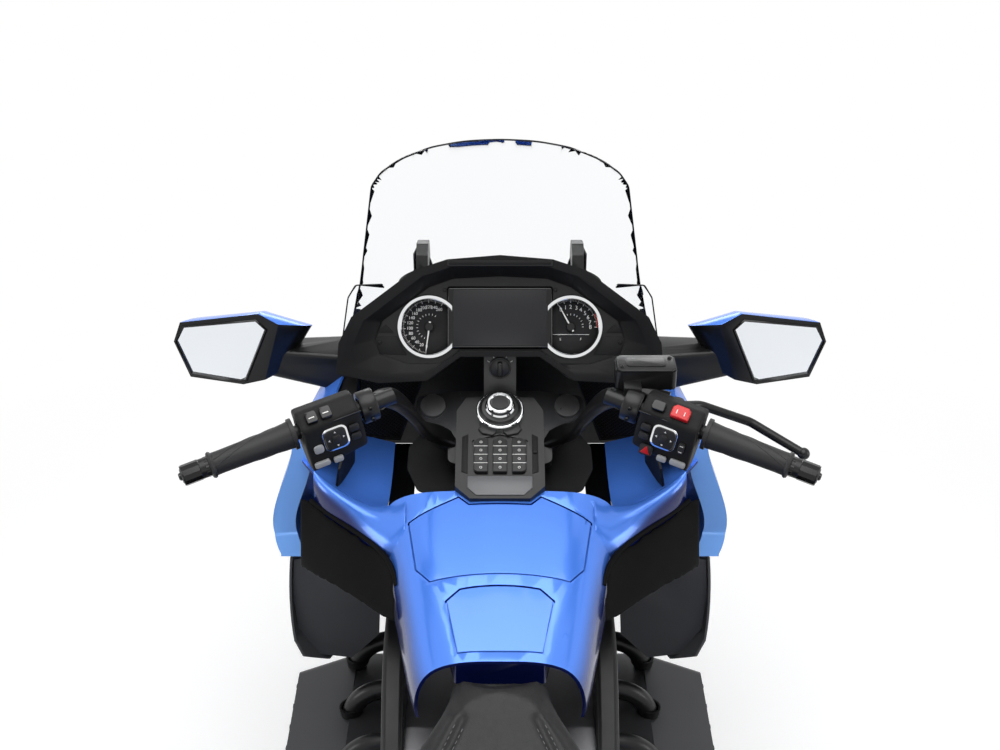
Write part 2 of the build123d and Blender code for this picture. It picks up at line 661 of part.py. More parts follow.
def main_frame():
    """Twin-spar frame: head pipe, two spars, pivot plates, cross tubes, front stay and seat rails."""
    head = rod(fork_point(LOWER_CLAMP_S + CLAMP_T + 1, 0, FORK_OFFSET),
               fork_point(UPPER_CLAMP_S - 1, 0, FORK_OFFSET), HEAD_PIPE_R)
    stations = [
        (Vector(26, 578, 776), Vector(0.75, -1, -0.2), 84, 30),
        (Vector(126, 440, 740), Vector(0.4, -1, -0.4), 96, 36),
        (Vector(168, 200, 640), Vector(0.05, -1, -0.6), 96, 36),
        (Vector(170, -20, 500), Vector(0, -1, -0.75), 90, 34),
    ]
    faces = []
    for centre, direction, tall, wide in stations:
        plane = Plane(origin=centre, x_dir=Vector(0, 0, 1).cross(direction), z_dir=direction)
        faces.append(plane * fillet(Rectangle(wide, tall).vertices(), 8))
    spar = loft(faces)
    plate = slab([(20, 545), (-70, 600), (-150, 600), (-262, 470), (-262, 330), (-200, 190), (-110, 190),
                  (-60, 300)], ENGINE_HALF, ENGINE_HALF + 36, 20)
    half = spar + plate
    half += rod((170, -110, 590), (150, -330, 640), 14) + rod((150, -330, 640), (140, -1060, 658), 14)
    half += rod((168, -230, 430), (140, -700, 648), 11)
    frame = head + half + mirror(half, about=Plane.YZ)
    for y, z, r, reach in ((-120, 560, 16, 165), (-700, 654, 11, BAG_INNER_X), (-1040, 658, 11, BAG_INNER_X)):
        frame += rod((-reach, y, z), (reach, y, z), r)
    frame += plan_slab([(-130, -60), (130, -60), (130, -345), (-130, -345)], SEAT_BASE_Z - 8, SEAT_BASE_Z)
    frame += stand_pins()
    frame += tube_path([(0, 560, 800), (0, 640, 800), (0, 760, 940)], 30, 13)
    frame += rod((-273, 750, 932), (273, 750, 932), 9)
    frame += rod((-160, 220, 660), (160, 220, 660), 12)
    for side in (-1, 1):
        frame += rod((side * 150, -200, 600), (side * 120, -200, SEAT_BASE_Z - 4), 10)
        frame += rod((side * 60, 220, 660), (side * 60, 220, POCKET_FLOOR_Z), 10)
        frame += rod((side * 140, 330, 690), (side * 344, 470, 650), 8)
        frame += rod((side * 140, -480, 650), (side * 140, -480, 712), 10)
        frame += rod((side * 140, -900, 655), (side * 140, -900, 712), 10)
    bore = rod(fork_point(LOWER_CLAMP_S, 0, FORK_OFFSET), fork_point(UPPER_CLAMP_S + 5, 0, FORK_OFFSET),
               STEM_R + FIT)
    return frame - bore


def engine():
    """Crankcase and gearbox as one plain block with its front cover and sump."""
    block = slab([(500, 470), (470, 560), (120, 600), (-40, 560), (-90, 470), (-90, 300), (-20, 200), (400, 190),
                  (490, 280)], -ENGINE_HALF, ENGINE_HALF, 18)
    return carve(block, NODES["main_frame"])


HEAD_Y = (150.0, 480.0)


def cylinder_heads():
    """Flat-six cylinder banks with their ribbed rocker covers."""
    low, high = HEAD_Y
    bank = slab([(low, 300), (high, 290), (high + 8, 440), (low + 10, 460)], ENGINE_HALF, 262, 14)
    cover = loft([
        Plane(origin=(262, (low + high) / 2, 372), x_dir=(0, 1, 0), z_dir=(1, 0, 0)) * fillet(
            Rectangle(high - low + 10, 150).vertices(), 22),
        Plane(origin=(368, (low + high) / 2, 372), x_dir=(0, 1, 0), z_dir=(1, 0, 0)) * fillet(
            Rectangle(high - low - 40, 104).vertices(), 22),
    ])
    bank += cover
    for k in range(5):
        y = low + 60 + k * 52
        bank += slab([(y, 330), (y + 8, 330), (y + 8, 414), (y, 414)], 340, 371)
    return both_sides(carve(bank, NODES["main_frame"], NODES["lower_cowls"]))


# Silencer sections: (y, x and z of the middle, width, height, corner radius).
SILENCER_SECTIONS = [(-540, 262, 268, 92, 84, 30), (-700, 278, 290, 140, 128, 40), (-1040, 285, 318, 150, 132, 42),
                     (-1150, 285, 326, 136, 112, 38)]
SILENCER_WALL = 3.0
TIP_R = 27.0


def silencer(wall=0.0):
    """Silencer's outer shape, or the space inside its wall."""
    faces = []
    for y, x, z, wide, tall, round_r in SILENCER_SECTIONS:
        y += wall if y == SILENCER_SECTIONS[-1][0] else -wall if y == SILENCER_SECTIONS[0][0] else 0
        section = fillet(Rectangle(wide - 2 * wall, tall - 2 * wall).vertices(), round_r - wall)
        faces.append(cross_plane(y) * Pos(x, z) * section)
    return loft(faces)


def exhausts():
    """Each side's collector pipe and long silencer with two outlets."""
    pipe = tube_path([(232, 420, 312), (232, 420, 220), (206, 320, 158), (176, 60, 142), (176, -170, 142),
                      (206, -420, 186), (262, -570, 262)], 34, 24)
    piece = pipe - silencer(SILENCER_WALL) + (silencer() - silencer(SILENCER_WALL))
    for x in (252, 318):
        piece += rod((x, -1100, 324), (x, -1196, 334), TIP_R)
        piece -= rod((x, -1090, 322.9), (x, -1200, 334.4), TIP_R - 4)
    return both_sides(carve(piece, NODES["cylinder_heads"], NODES["main_frame"]))


def swingarm():
    """Single-sided shaft-drive swingarm with its final drive and the rear axle stub."""
    pivot = rod((-ENGINE_HALF, PIVOT.Y, PIVOT.Z), (ENGINE_HALF, PIVOT.Y, PIVOT.Z), 17)
    x_arm = 128.0
    arm = loft([
        Plane(origin=(x_arm, PIVOT.Y - 20, PIVOT.Z), x_dir=(1, 0, 0), z_dir=(0, -1, 0))
        * fillet(Rectangle(42, 100).vertices(), 16),
        Plane(origin=(x_arm + 2, -420, 365), x_dir=(1, 0, 0), z_dir=(0, -1, 0))
        * fillet(Rectangle(44, 84).vertices(), 18),
        Plane(origin=(x_arm + 6, REAR_AXLE.Y + 60, REAR_AXLE.Z), x_dir=(1, 0, 0), z_dir=(0, -1, 0))
        * fillet(Rectangle(54, 120).vertices(), 20),
    ])
    bridge = slab([(PIVOT.Y + 25, 370), (PIVOT.Y + 25, 430), (PIVOT.Y - 90, 425), (PIVOT.Y - 60, 370)],
                  4 - ENGINE_HALF, ENGINE_HALF - 4, 10)
    drive = rod((106, REAR_AXLE.Y, REAR_AXLE.Z), (168, REAR_AXLE.Y, REAR_AXLE.Z), 88)
    stub = rod((-REAR_HUB_HALF - 12, REAR_AXLE.Y, REAR_AXLE.Z), (130, REAR_AXLE.Y, REAR_AXLE.Z), REAR_AXLE_R)
    nose = rod((REAR_HUB_HALF + GAP, REAR_AXLE.Y, REAR_AXLE.Z), (130, REAR_AXLE.Y, REAR_AXLE.Z), 56)
    nut = rod((-REAR_HUB_HALF - 30, REAR_AXLE.Y, REAR_AXLE.Z), (-REAR_HUB_HALF - GAP, REAR_AXLE.Y, REAR_AXLE.Z), 30)
    return carve(pivot + arm + bridge + drive + stub + nose + nut, NODES["main_frame"])


# ---------------------------------------------------------------- tank cover, console and lids
# Half section lines of the tank cover from its middle outward: (y, [(x, z), ...]).
TANK_LINES = [
    (12, [(0, 829), (60, 826), (102, 808), (121, 776), (124, 722)]),
    (90, [(0, 848), (70, 845), (118, 828), (138, 796), (142, 726)]),
    (180, [(0, 871), (84, 867), (134, 853), (154, 826), (158, 740)]),
    (260, [(0, 892), (86, 888), (142, 877), (166, 858), (172, 770)]),
    (330, [(0, 909), (80, 906), (130, 902), (170, 886), (184, 830)]),
]
TANK_WALL = 5.0
# Rim band from the tank's shoulder out to the wing: (x, upper edge, crown, pad edge, tucked edge) as (y, z).
RIM_LINES = [
    (150, [(334, 894), (302, 891), (258, 868), (240, 840)]),
    (196, [(330, 876), (306, 876), (272, 853), (262, 824)]),
    (226, [(338, 880), (316, 878), (299, 855), (292, 826)]),
    (270, [(360, 894), (344, 892), (334, 864), (330, 834)]),
    (304, [(385, 908), (376, 900), (370, 868), (368, 838)]),
]
RIM_WALL = 6.0
LID_GAP = 2.5
LEDGE = 9.0
POCKET_EDGE = [(50, 300), (66, 316), (143, 276), (128, 187), (106, 160)]
POCKET_REAR_Y = 168.0
FUEL_EDGE = [(60, 139), (80, 120), (62, 30)]
FUEL_FRONT_Y = 144.0
POCKET_FLOOR_Z = 800.0
FUEL_FLOOR_Z = 776.0


def full_line(half):
    """Section line from the left edge over the middle to the right edge."""
    return [(-x, z) for x, z in half[:0:-1]] + half


def tank_skin(wall, inset=0.0):
    """Tank cover's skin, or a layer below it."""
    return wall_loft([(y, full_line(half)) for y, half in TANK_LINES], wall, (), inset)


def lid_edge(half, front, rear, grow=0.0):
    """Closed plan outline of a lid with arched front or rear, grown outward all round."""
    right = list(half)
    left = [(-x, y) for x, y in half[::-1]]
    rear_run = ThreePointArc(right[-1], (0, rear), left[0]) if rear is not None else Line(right[-1], left[0])
    front_run = ThreePointArc(left[-1], (0, front), right[0]) if front is not None else Line(left[-1], right[0])
    face = make_face([Polyline(*right), rear_run, Polyline(*left), front_run])
    return offset(face, amount=grow) if grow else face


def pocket_outline(grow=0.0):
    return lid_edge(POCKET_EDGE, None, POCKET_REAR_Y, grow)


def fuel_outline(grow=0.0):
    return lid_edge(FUEL_EDGE, FUEL_FRONT_Y, None, grow)


def column(face, low=700, high=1000):
    """Upright prism over a plan outline."""
    return extrude(Plane.XY.offset(low) * face, high - low)


def lid_cut(outline_at):
    """Recess for a lid: through the skin and a running gap deeper."""
    return tank_skin(TANK_WALL + GAP + 1, -1) & column(outline_at(LID_GAP))


def lid_well(outline_at, floor_z):
    """Tray below a lid, with a rim for the lid to rest on and a floor."""
    block = column(outline_at(6), floor_z, 905) - tank_skin(60 + TANK_WALL - 0.5, -60)
    return block - column(outline_at(-LEDGE), floor_z + 4)


def rim_band():
    """Rolled band that runs from the tank's shoulder out to the wing."""
    return side_loft(RIM_LINES, -RIM_WALL)


CONSOLE_SLOPE = 20.0
CONSOLE_FOOT = Vector(0, 306, 903)
CONSOLE_LEN = 206.0
CONSOLE_HALF = 72.0
KNOB_AT = 186.0


def console_plane(out=0.0):
    """Plane of the console's face: local x is +X, local y runs up the slope."""
    a = math.radians(CONSOLE_SLOPE)
    normal = Vector(0, -math.sin(a), math.cos(a))
    return Plane(origin=CONSOLE_FOOT + normal * out, x_dir=(1, 0, 0), z_dir=normal)


CONSOLE_EDGE = [
    (-48, 0), (48, 0), (CONSOLE_HALF, 24), (CONSOLE_HALF, 178), (56, CONSOLE_LEN), (-56, CONSOLE_LEN),
    (-CONSOLE_HALF, 178), (-CONSOLE_HALF, 24),
]


def top_shelter():
    """Painted tank cover with its rim bands, and a well under each lid."""
    band = rim_band()
    cover = tank_skin(TANK_WALL)
    for outline_at, floor_z in ((pocket_outline, POCKET_FLOOR_Z), (fuel_outline, FUEL_FLOOR_Z)):
        cover = cover - column(outline_at(-LEDGE)) + lid_well(outline_at, floor_z) - lid_cut(outline_at)
    cover = cover + band + mirror(band, about=Plane.YZ)
    return carve(cover - extrude(console_plane(-60) * outline(CONSOLE_EDGE), 100))


def pocket_lid():
    """Storage pocket lid, cut from the tank cover's skin."""
    return carve(tank_skin(TANK_WALL) & column(pocket_outline()))


def fuel_lid():
    """Fuel filler lid, cut from the tank cover's skin."""
    return carve(tank_skin(TANK_WALL) & column(fuel_outline()))


def console():
    """Centre console: switch panel, rotary dial and the key panel behind it."""
    body = extrude(console_plane(-14) * outline(CONSOLE_EDGE), 22)
    body = body - extrude(console_plane(6) * outline([(-40, 46), (40, 46), (46, 116), (0, 128), (-46, 116)], 5), 4)
    for x in (-31, 0, 31):
        body += extrude(console_plane(6) * Pos(x, 84) * fillet(Rectangle(22, 66).vertices(), 3), 4.5)
    dial = Cylinder(38, 12) + Pos(0, 0, 9) * Cone(36, 30, 6) + Pos(0, 0, 17) * Cylinder(21, 12)
    body += console_plane(12) * Pos(0, KNOB_AT - 14, 0) * dial
    neck = slab([(486, 952), (506, 976), (522, 1046), (548, 1046), (548, 952)], -27, 27)
    body += neck
    for x in (-20, 20):
        body += extrude(console_plane(8) * Pos(x, 136) * Circle(6), 3)
    return carve(body, NODES["instrument_hood"])


# Knee pads: (x, upper edge, lower edge) as (y, z) corners.
KNEE_LINES = [
    (160, [(205, 834), (176, 806), (152, 784)]),
    (205, [(284, 852), (232, 812), (190, 780)]),
    (247, [(318, 852), (272, 812), (232, 778)]),
    (285, [(348, 858), (308, 812), (270, 772)]),
    (332, [(376, 862), (352, 806), (326, 758)]),
]


def knee_pads():
    """Moulded pads between the tank's flanks and the wings, where the knees rest."""
    pad = side_loft(KNEE_LINES, -5.0)
    return both_sides(carve(pad, NODES["main_frame"], rim_band(), tank_skin(TANK_WALL)))


SPEAKER_IN_X = 130.0
SPEAKER_IN_Y = 618.0
SPEAKER_SLANT = 0.36
SPEAKER_EDGE = [(0, 962), (0, 980), (139, 1000), (168, 976), (182, 940), (192, 896), (176, 868), (52, 832)]


def inner_panels():
    """Black trim inside the fairing: speaker panels beside the console and the shelves outboard of the hood."""
    across = Vector(1, -SPEAKER_SLANT, 0).normalized()
    place = Plane(origin=(SPEAKER_IN_X, SPEAKER_IN_Y, 0), x_dir=across, z_dir=across.cross(Vector(0, 0, 1)))
    speaker = extrude(place * outline(SPEAKER_EDGE), 4)
    shelf = loft([
        cross_plane(700) * outline([(196, 1016), (262, 1000), (262, 996), (196, 1012)]),
        cross_plane(560) * outline([(236, 1008), (290, 972), (288, 968), (236, 1004)]),
        cross_plane(440) * outline([(240, 925), (330, 934), (330, 930), (240, 921)]),
    ])
    drop = loft([
        cross_plane(500) * outline([(240, 960), (244, 960), (258, 800), (254, 800)]),
        cross_plane(395) * outline([(262, 905), (266, 905), (285, 790), (281, 790)]),
    ])
    piece = carve(speaker + shelf + drop, NODES["side_fairings"], NODES["instrument_hood"], NODES["console"],
                  NODES["mirrors"], NODES["wind_deflectors"])
    return both_sides(piece)


LOWER_LINES = [
    (760, [(268, 690), (276, 600), (252, 540), (226, 505)]),
    (640, [(306, 712), (316, 610), (292, 530), (246, 480)]),
    (520, [(340, 730), (346, 630), (334, 552), (270, 486)]),
    (350, [(352, 738), (360, 650), (356, 570), (322, 484)]),
]
LOWER_CUT = [(386, 732), (478, 682), (560, 640), (660, 632), (752, 648), (740, 560), (640, 488), (500, 486),
             (400, 496), (356, 540)]
REAR_FACE = [(350, 722), (357, 650), (353, 566), (330, 516), (262, 506), (212, 560), (206, 650), (262, 742)]


def lower_cowls():
    """Lower side cowls ahead of the engine, each with an air outlet slot."""
    skin = wall_loft(LOWER_LINES, PANEL, (2,)) & slab(LOWER_CUT, 0, 500)
    for k in range(3):
        y = 470 + k * 46
        skin = skin - slab([(y, 640), (y + 16, 640), (y + 44, 580), (y + 28, 580)], 280, 400)
    skin = skin + cross_slab(REAR_FACE, 396, 392)
    return both_sides(carve(skin, NODES["side_fairings"], NODES["main_frame"]))


COVER_T = 4.0
COVER_EDGE = [(-128, -24), (-158, -62), (-160, -104), (-140, -146), (-60, -162), (60, -162), (140, -146),
              (160, -104), (158, -62), (128, -24)]


def steering_cover():
    """Moulded cover under the upper clamp, which hides the frame from above and turns with the bars."""
    plane = fork_plane(UPPER_CLAMP_S - COVER_T)
    hole = extrude(plane * Pos(0, -FORK_OFFSET) * Circle(HEAD_PIPE_R + MOVING_GAP), COVER_T)
    return carve(extrude(plane * outline(COVER_EDGE, 14), COVER_T) - hole, NODES["fork"], NODES["triple_clamps"])


def inner_cowl():
    """Black bulkhead between the fork and the nose, slanted like the fork."""
    sheet = slab([(650, 1004), (650, 965), (798, 697), (801.5, 699), (654, 966), (654, 1004)], -236, 236)
    return carve(sheet, NODES["main_frame"], NODES["instrument_hood"], NODES["side_fairings"])


# Bowls between the rim band and the speaker panels: (x, line) as (y, z) corners, from the rim forward.
BOWL_LINES = [
    (186, [(338, 868), (392, 836), (470, 822), (586, 834)]),
    (226, [(346, 872), (400, 846), (480, 838), (576, 852)]),
    (268, [(366, 886), (420, 862), (490, 858), (562, 878)]),
    (304, [(390, 900), (440, 884), (496, 884), (550, 904)]),
    (326, [(414, 910), (450, 902), (496, 902), (542, 916)]),
]


def bowl_panels():
    """Painted bowls inside the fairing, behind the rim band."""
    bowl = side_loft(BOWL_LINES, PANEL)
    return both_sides(carve(bowl, NODES["side_fairings"], NODES["inner_panels"], NODES["main_frame"], rim_band()))


def radiators():
    """Side radiators between the fork and the lower cowls, each on a bracket from the engine."""
    core = cross_slab([(178, 520), (178, 738), (258, 748), (280, 700), (280, 560), (240, 508)], 640, 600)
    core += rod((140, 470, 440), (210, 612, 560), 9)
    return both_sides(carve(core, NODES["engine"], NODES["main_frame"], NODES["side_fairings"], NODES["lower_cowls"]))


# ---------------------------------------------------------------- seat and rear body
# Seat sections: (y, half width, underside z, top z).
RIDER_SEAT = [(-4, 74, 768, 820), (-60, 104, 716, 800), (-190, 176, 682, 752), (-290, 176, 682, 768),
              (-352, 150, 700, 806)]
PASSENGER_SEAT = [(-362, 150, 748, 862), (-470, 166, 748, 872), (-640, 166, 748, 864), (-760, 140, 748, 846)]
SEAT_BASE_Z = 682.0
DECK_Z = 748.0


def cushion(sections):
    """Closed soft block through rounded sections."""
    faces = []
    for y, half, low, top in sections:
        round_r = min(30.0, (top - low) * 0.42)
        middle = Pos(0, (low + top) / 2)
        faces.append(cross_plane(y) * middle * fillet(Rectangle(2 * half, top - low).vertices(), round_r))
    return loft(faces)


def rider_seat():
    return carve(cushion(RIDER_SEAT), NODES["main_frame"])


def passenger_seat():
    return cushion(PASSENGER_SEAT)


COVER_LINES = [
    (-40, [(128, 712), (160, 690), (178, 640), (176, 570)]),
    (-180, [(182, 706), (192, 680), (196, 630), (190, 560)]),
    (-370, [(168, 742), (184, 700), (190, 640), (180, 580)]),
]


def side_covers():
    """Painted side covers below the seat."""
    edge = [(-44, 700), (-150, 690), (-366, 736), (-366, 600), (-250, 566), (-60, 580)]
    skin = wall_loft(COVER_LINES, PANEL) & slab(edge, 0, 300)
    return both_sides(carve(skin, NODES["rider_seat"], NODES["main_frame"]))


TAIL_SECTIONS = [
    (-372, [(172, 700), (168, 748), (-168, 748), (-172, 700), (-150, 690), (150, 690)]),
    (-640, [(196, 690), (180, 748), (-180, 748), (-196, 690), (-160, 676), (160, 676)]),
    (-960, [(206, 700), (168, 776), (-168, 776), (-206, 700), (-170, 684), (170, 684)]),
    (-1188, [(188, 716), (132, 764), (-132, 764), (-188, 716), (-150, 704), (150, 704)]),
]
TAIL_DECK_Z = 784.0
RACK_HOLE_R = 4.25
RACK_X = 70.0
RACK_Y = (-860.0, -1020.0)


def tail_cowl():
    """Painted tail between the cases: a shell with a flat luggage deck behind the passenger seat."""
    shell = loft([cross_plane(y) * outline(points) for y, points in TAIL_SECTIONS], ruled=True)
    shell = shell + cross_slab([(-112, 740), (-112, TAIL_DECK_Z), (112, TAIL_DECK_Z), (112, 740)], -800, -1090, 8)
    inner = loft([cross_plane(y) * outline([(x * 0.96, z - 5 if z > 720 else z - 30) for x, z in points])
                  for y, points in TAIL_SECTIONS[:3]], ruled=True)
    shell = shell - inner
    seat_bay = slab([(-360, DECK_Z), (-766, DECK_Z), (-766, 900), (-360, 900)], -300, 300)
    shell = shell - seat_bay
    for x in (-RACK_X, RACK_X):
        for y in RACK_Y:
            shell = shell - rod((x, y, TAIL_DECK_Z - 24), (x, y, TAIL_DECK_Z + 5), RACK_HOLE_R)
    return carve(shell, NODES["main_frame"], NODES["passenger_seat"])


BAG_INNER_X = 215.0
BAG_SPLIT_X = 392.0
BAG_OUTER_X = 450.0
BAG_WALL = 4.5
BAG_OUTLINE = [(-432, 640), (-446, 560), (-530, 452), (-640, 438), (-1050, 438), (-1150, 500), (-1184, 610),
               (-1160, 716), (-1080, 776), (-940, 792), (-600, 768), (-480, 720)]
BAG_CENTRE = (-800.0, 610.0)
BAG_SECTIONS = [(BAG_INNER_X, 0.97), (300.0, 1.0), (BAG_SPLIT_X, 0.985), (425.0, 0.93), (BAG_OUTER_X, 0.80)]


def bag_section(k, wall=0.0):
    """Side outline of the case, scaled about its middle and drawn in by a wall."""
    cy, cz = BAG_CENTRE
    shrink_y = k - wall / 376.0
    shrink_z = k - wall / 177.0
    return [(cy + (y - cy) * shrink_y, cz + (z - cz) * shrink_z) for y, z in BAG_OUTLINE]


def bag_solid(wall=0.0):
    """Whole case as a solid, or the space inside its wall."""
    faces = []
    for x, k in BAG_SECTIONS:
        depth = x
        if x == BAG_INNER_X:
            depth = x + wall
        if x == BAG_OUTER_X:
            depth = x - wall
        face = side_plane(depth) * make_face(Spline(*bag_section(k, wall), periodic=True))
        faces.append(face)
    return loft(faces)


HINGE_Z = 408.0
HINGE_PIN_R = 3.0
HINGE_EYE_R = 6.0
HINGE_ENDS = (-915.0, -685.0)
BRACKET_LEN = 12.0


def side_box(y_low, y_high, z_low, z_high, x_low, x_high):
    """Block with its faces at the given limits."""
    return slab([(y_low, z_low), (y_low, z_high), (y_high, z_high), (y_high, z_low)], x_low, x_high)


def hinge_pin():
    """Case hinge pin below the split, on the two brackets that carry it."""
    rear, front = HINGE_ENDS
    pin = rod((BAG_SPLIT_X, rear, HINGE_Z), (BAG_SPLIT_X, front, HINGE_Z), HINGE_PIN_R)
    for y in (rear, front - BRACKET_LEN):
        pin += side_box(y, y + BRACKET_LEN, HINGE_Z - 4, HINGE_Z + 5, BAG_SPLIT_X - 8, BAG_SPLIT_X + HINGE_PIN_R)
        pin += side_box(y, y + BRACKET_LEN, HINGE_Z + 5, HINGE_Z + 22, BAG_SPLIT_X - 8, BAG_SPLIT_X)
    return pin


def hinge_knuckle():
    """The door's knuckle with its web, bored for the pin."""
    rear, front = HINGE_ENDS[0] + BRACKET_LEN + 4, HINGE_ENDS[1] - BRACKET_LEN - 4
    knuckle = rod((BAG_SPLIT_X, rear, HINGE_Z), (BAG_SPLIT_X, front, HINGE_Z), HINGE_EYE_R)
    knuckle += side_box(rear, front, HINGE_Z, HINGE_Z + 20, BAG_SPLIT_X + 2 * GAP, BAG_SPLIT_X + HINGE_EYE_R)
    return knuckle - rod((BAG_SPLIT_X, rear - 1, HINGE_Z), (BAG_SPLIT_X, front + 1, HINGE_Z), HINGE_PIN_R + FIT)


def bag_shell():
    return bag_solid() - bag_solid(BAG_WALL)


def saddlebag(side):
    """Inner half of a side case: a tub open at its outer face."""
    tub = bag_shell() & slab([(-1300, 300), (-1300, 900), (-300, 900), (-300, 300)], 200, BAG_SPLIT_X)
    tub = carve(tub + (hinge_pin() - bag_solid(BAG_WALL)))
    return tub if side > 0 else mirror(tub, about=Plane.YZ)


def saddlebag_door(side):
    """Outer half of a side case, hinged along its lower edge."""
    door = bag_shell() & slab([(-1300, 300), (-1300, 900), (-300, 900), (-300, 300)], BAG_SPLIT_X + GAP, 480)
    door = carve(door + (hinge_knuckle() - bag_solid(BAG_WALL)))
    return door if side > 0 else mirror(door, about=Plane.YZ)


def rear_fender():
    """Inner mudguard round the rear tyre, with the plate bracket at its end."""
    r = REAR_TYRE_R + 22
    section = outline([(-118, r - 40), (-118, r), (118, r), (118, r - 40), (114, r - 40), (114, r - 4),
                       (-114, r - 4), (-114, r - 40)])
    place = Plane(origin=REAR_AXLE, x_dir=(1, 0, 0), z_dir=(0, -1, 0))
    piece = revolve(place * section, Axis(REAR_AXLE, (1, 0, 0)), 360)
    y, z = REAR_AXLE.Y, REAR_AXLE.Z
    far = 700
    a, b = math.radians(78), math.radians(158)
    keep = slab([(y, z), (y + far * math.cos(a), z + far * math.sin(a)), (y - far, z + far),
                 (y + far * math.cos(b), z + far * math.sin(b))], -130, 130)
    piece = piece & keep
    bracket = cross_slab([(-92, 470), (-92, 640), (92, 640), (92, 470)], -900, TAIL_END_Y + 4 + GAP)
    bracket = bracket - cross_slab([(-86, 476), (-86, 634), (86, 634), (86, 476)], -800, TAIL_END_Y + 10)
    bracket = bracket - rod((-200, y, z), (200, y, z), r - 2)
    post = cross_slab([(-30, 630), (-30, 720), (30, 720), (30, 630)], -1150, -1180)
    return carve(piece + bracket + post, NODES["tail_cowl"], NODES["main_frame"])


PLATE_BOLT_X = 70.0
PLATE_HOLE_R = 3.5


def licence_plate():
    """Blank number plate on the bracket's rear face."""
    plate = cross_slab([(-95, 476), (-95, 636), (95, 636), (95, 476)], TAIL_END_Y + 4, TAIL_END_Y, 8)
    for x in (-PLATE_BOLT_X, PLATE_BOLT_X):
        plate = plate - rod((x, TAIL_END_Y - 5, 612), (x, TAIL_END_Y + 10, 612), PLATE_HOLE_R)
    return plate


def tail_light():
    """Wide tail lamp across the end of the tail cowl."""
    lamp = cross_slab([(-184, 708), (-132, 760), (132, 760), (184, 708), (150, 704), (-150, 704)], -1188, -1216)
    return carve(lamp, NODES["rear_fender"])


def grab_rails():
    """Passenger grab rails at each side of the rear seat."""
    rail = tube_path([(176, -440, 742), (200, -480, 800), (200, -700, 812), (178, -850, 800), (150, -880, 764)],
                     24, 11)
    return both_sides(carve(rail, NODES["tail_cowl"], NODES["passenger_seat"], NODES["main_frame"]))


def footpegs():
    """Rider's pegs on their brackets with the brake pedal, and the passenger's boards."""
    arm = slab([(-150, 420), (-70, 350), (10, 300), (46, 306), (50, 340), (-20, 380), (-90, 450)], 188, 200, 6)
    peg = rod((200, 24, 322), (322, 24, 322), 14)
    board_arm = slab([(-250, 440), (-250, 380), (-330, 352), (-330, 378)], 188, 202)
    board = slab([(-300, 352), (-300, 364), (-470, 370), (-470, 358)], 202, 318, 4)
    half = arm + peg + board_arm + board
    pair = half + mirror(half, about=Plane.YZ)
    pedal = slab([(10, 318), (14, 304), (100, 296), (126, 320), (120, 330), (96, 310)], 200, 212)
    pedal += slab([(96, 322), (96, 334), (128, 340), (128, 328)], 212, 286, 4)
    return carve(pair + pedal, NODES["main_frame"], NODES["cylinder_heads"])


# ---------------------------------------------------------------- stands
STAND_PIVOT = Vector(0, -190, 235)
STAND_FOOT = Vector(0, -150, 0)
STAND_LEG_X = 124.0
STAND_PIN_R = 10.0
STAND_BORE_R = STAND_PIN_R + FIT


def centre_stand():
    """Main stand: two legs and a brace on a pivot tube, with flat feet."""
    tube = rod((-148, STAND_PIVOT.Y, STAND_PIVOT.Z), (148, STAND_PIVOT.Y, STAND_PIVOT.Z), 17)
    piece = tube
    for side in (-1, 1):
        x = side * STAND_LEG_X
        foot = STAND_FOOT + Vector(x, 0, 14)
        piece += rod(STAND_PIVOT + Vector(x, 0, 0), foot, 13)
        piece += slab([(-184, 0), (-180, 14), (-120, 14), (-116, 0)], x - 20, x + 26)
    piece += rod((-STAND_LEG_X, -174, 140), (STAND_LEG_X, -174, 140), 10)
    return piece - rod((-160, STAND_PIVOT.Y, STAND_PIVOT.Z), (160, STAND_PIVOT.Y, STAND_PIVOT.Z), STAND_BORE_R)


SIDE_STAND_PIVOT = Vector(-232, -120, 232)
SIDE_STAND_STOWED = Vector(-0.05, -0.99, 0.08).normalized()
SIDE_STAND_OUT = Vector(-0.42, 0.25, -0.87).normalized()
SIDE_STAND_AXIS = SIDE_STAND_STOWED.cross(SIDE_STAND_OUT).normalized()
SIDE_STAND_LEN = 225.0
SIDE_PIN_R = 9.0


def side_stand():
    """Side stand, stowed along the left side with its foot to the rear."""
    end = SIDE_STAND_PIVOT + SIDE_STAND_STOWED * SIDE_STAND_LEN
    axis = SIDE_STAND_AXIS
    eye = rod(SIDE_STAND_PIVOT - axis * 7, SIDE_STAND_PIVOT + axis * 7, 22)
    leg = rod(SIDE_STAND_PIVOT + SIDE_STAND_STOWED * 20, end, 10)
    foot = extrude(Plane(origin=end, z_dir=SIDE_STAND_STOWED) * Circle(24), 7)
    bore = rod(SIDE_STAND_PIVOT - axis * 30, SIDE_STAND_PIVOT + axis * 30, SIDE_PIN_R + FIT)
    return eye + leg + foot - bore


def stand_pins():
    """Pivot bolts of both stands, carried by the frame."""
    pins = rod((-152, STAND_PIVOT.Y, STAND_PIVOT.Z), (152, STAND_PIVOT.Y, STAND_PIVOT.Z), STAND_PIN_R)
    axis = SIDE_STAND_AXIS
    pins += rod(SIDE_STAND_PIVOT + axis * 72, SIDE_STAND_PIVOT - axis * 8, SIDE_PIN_R)
    pins += rod(SIDE_STAND_PIVOT + axis * 66, SIDE_STAND_PIVOT + axis * (7 + GAP), 15)
    pins += rod(SIDE_STAND_PIVOT - axis * (7 + GAP), SIDE_STAND_PIVOT - axis * 13, 14)
    return pins


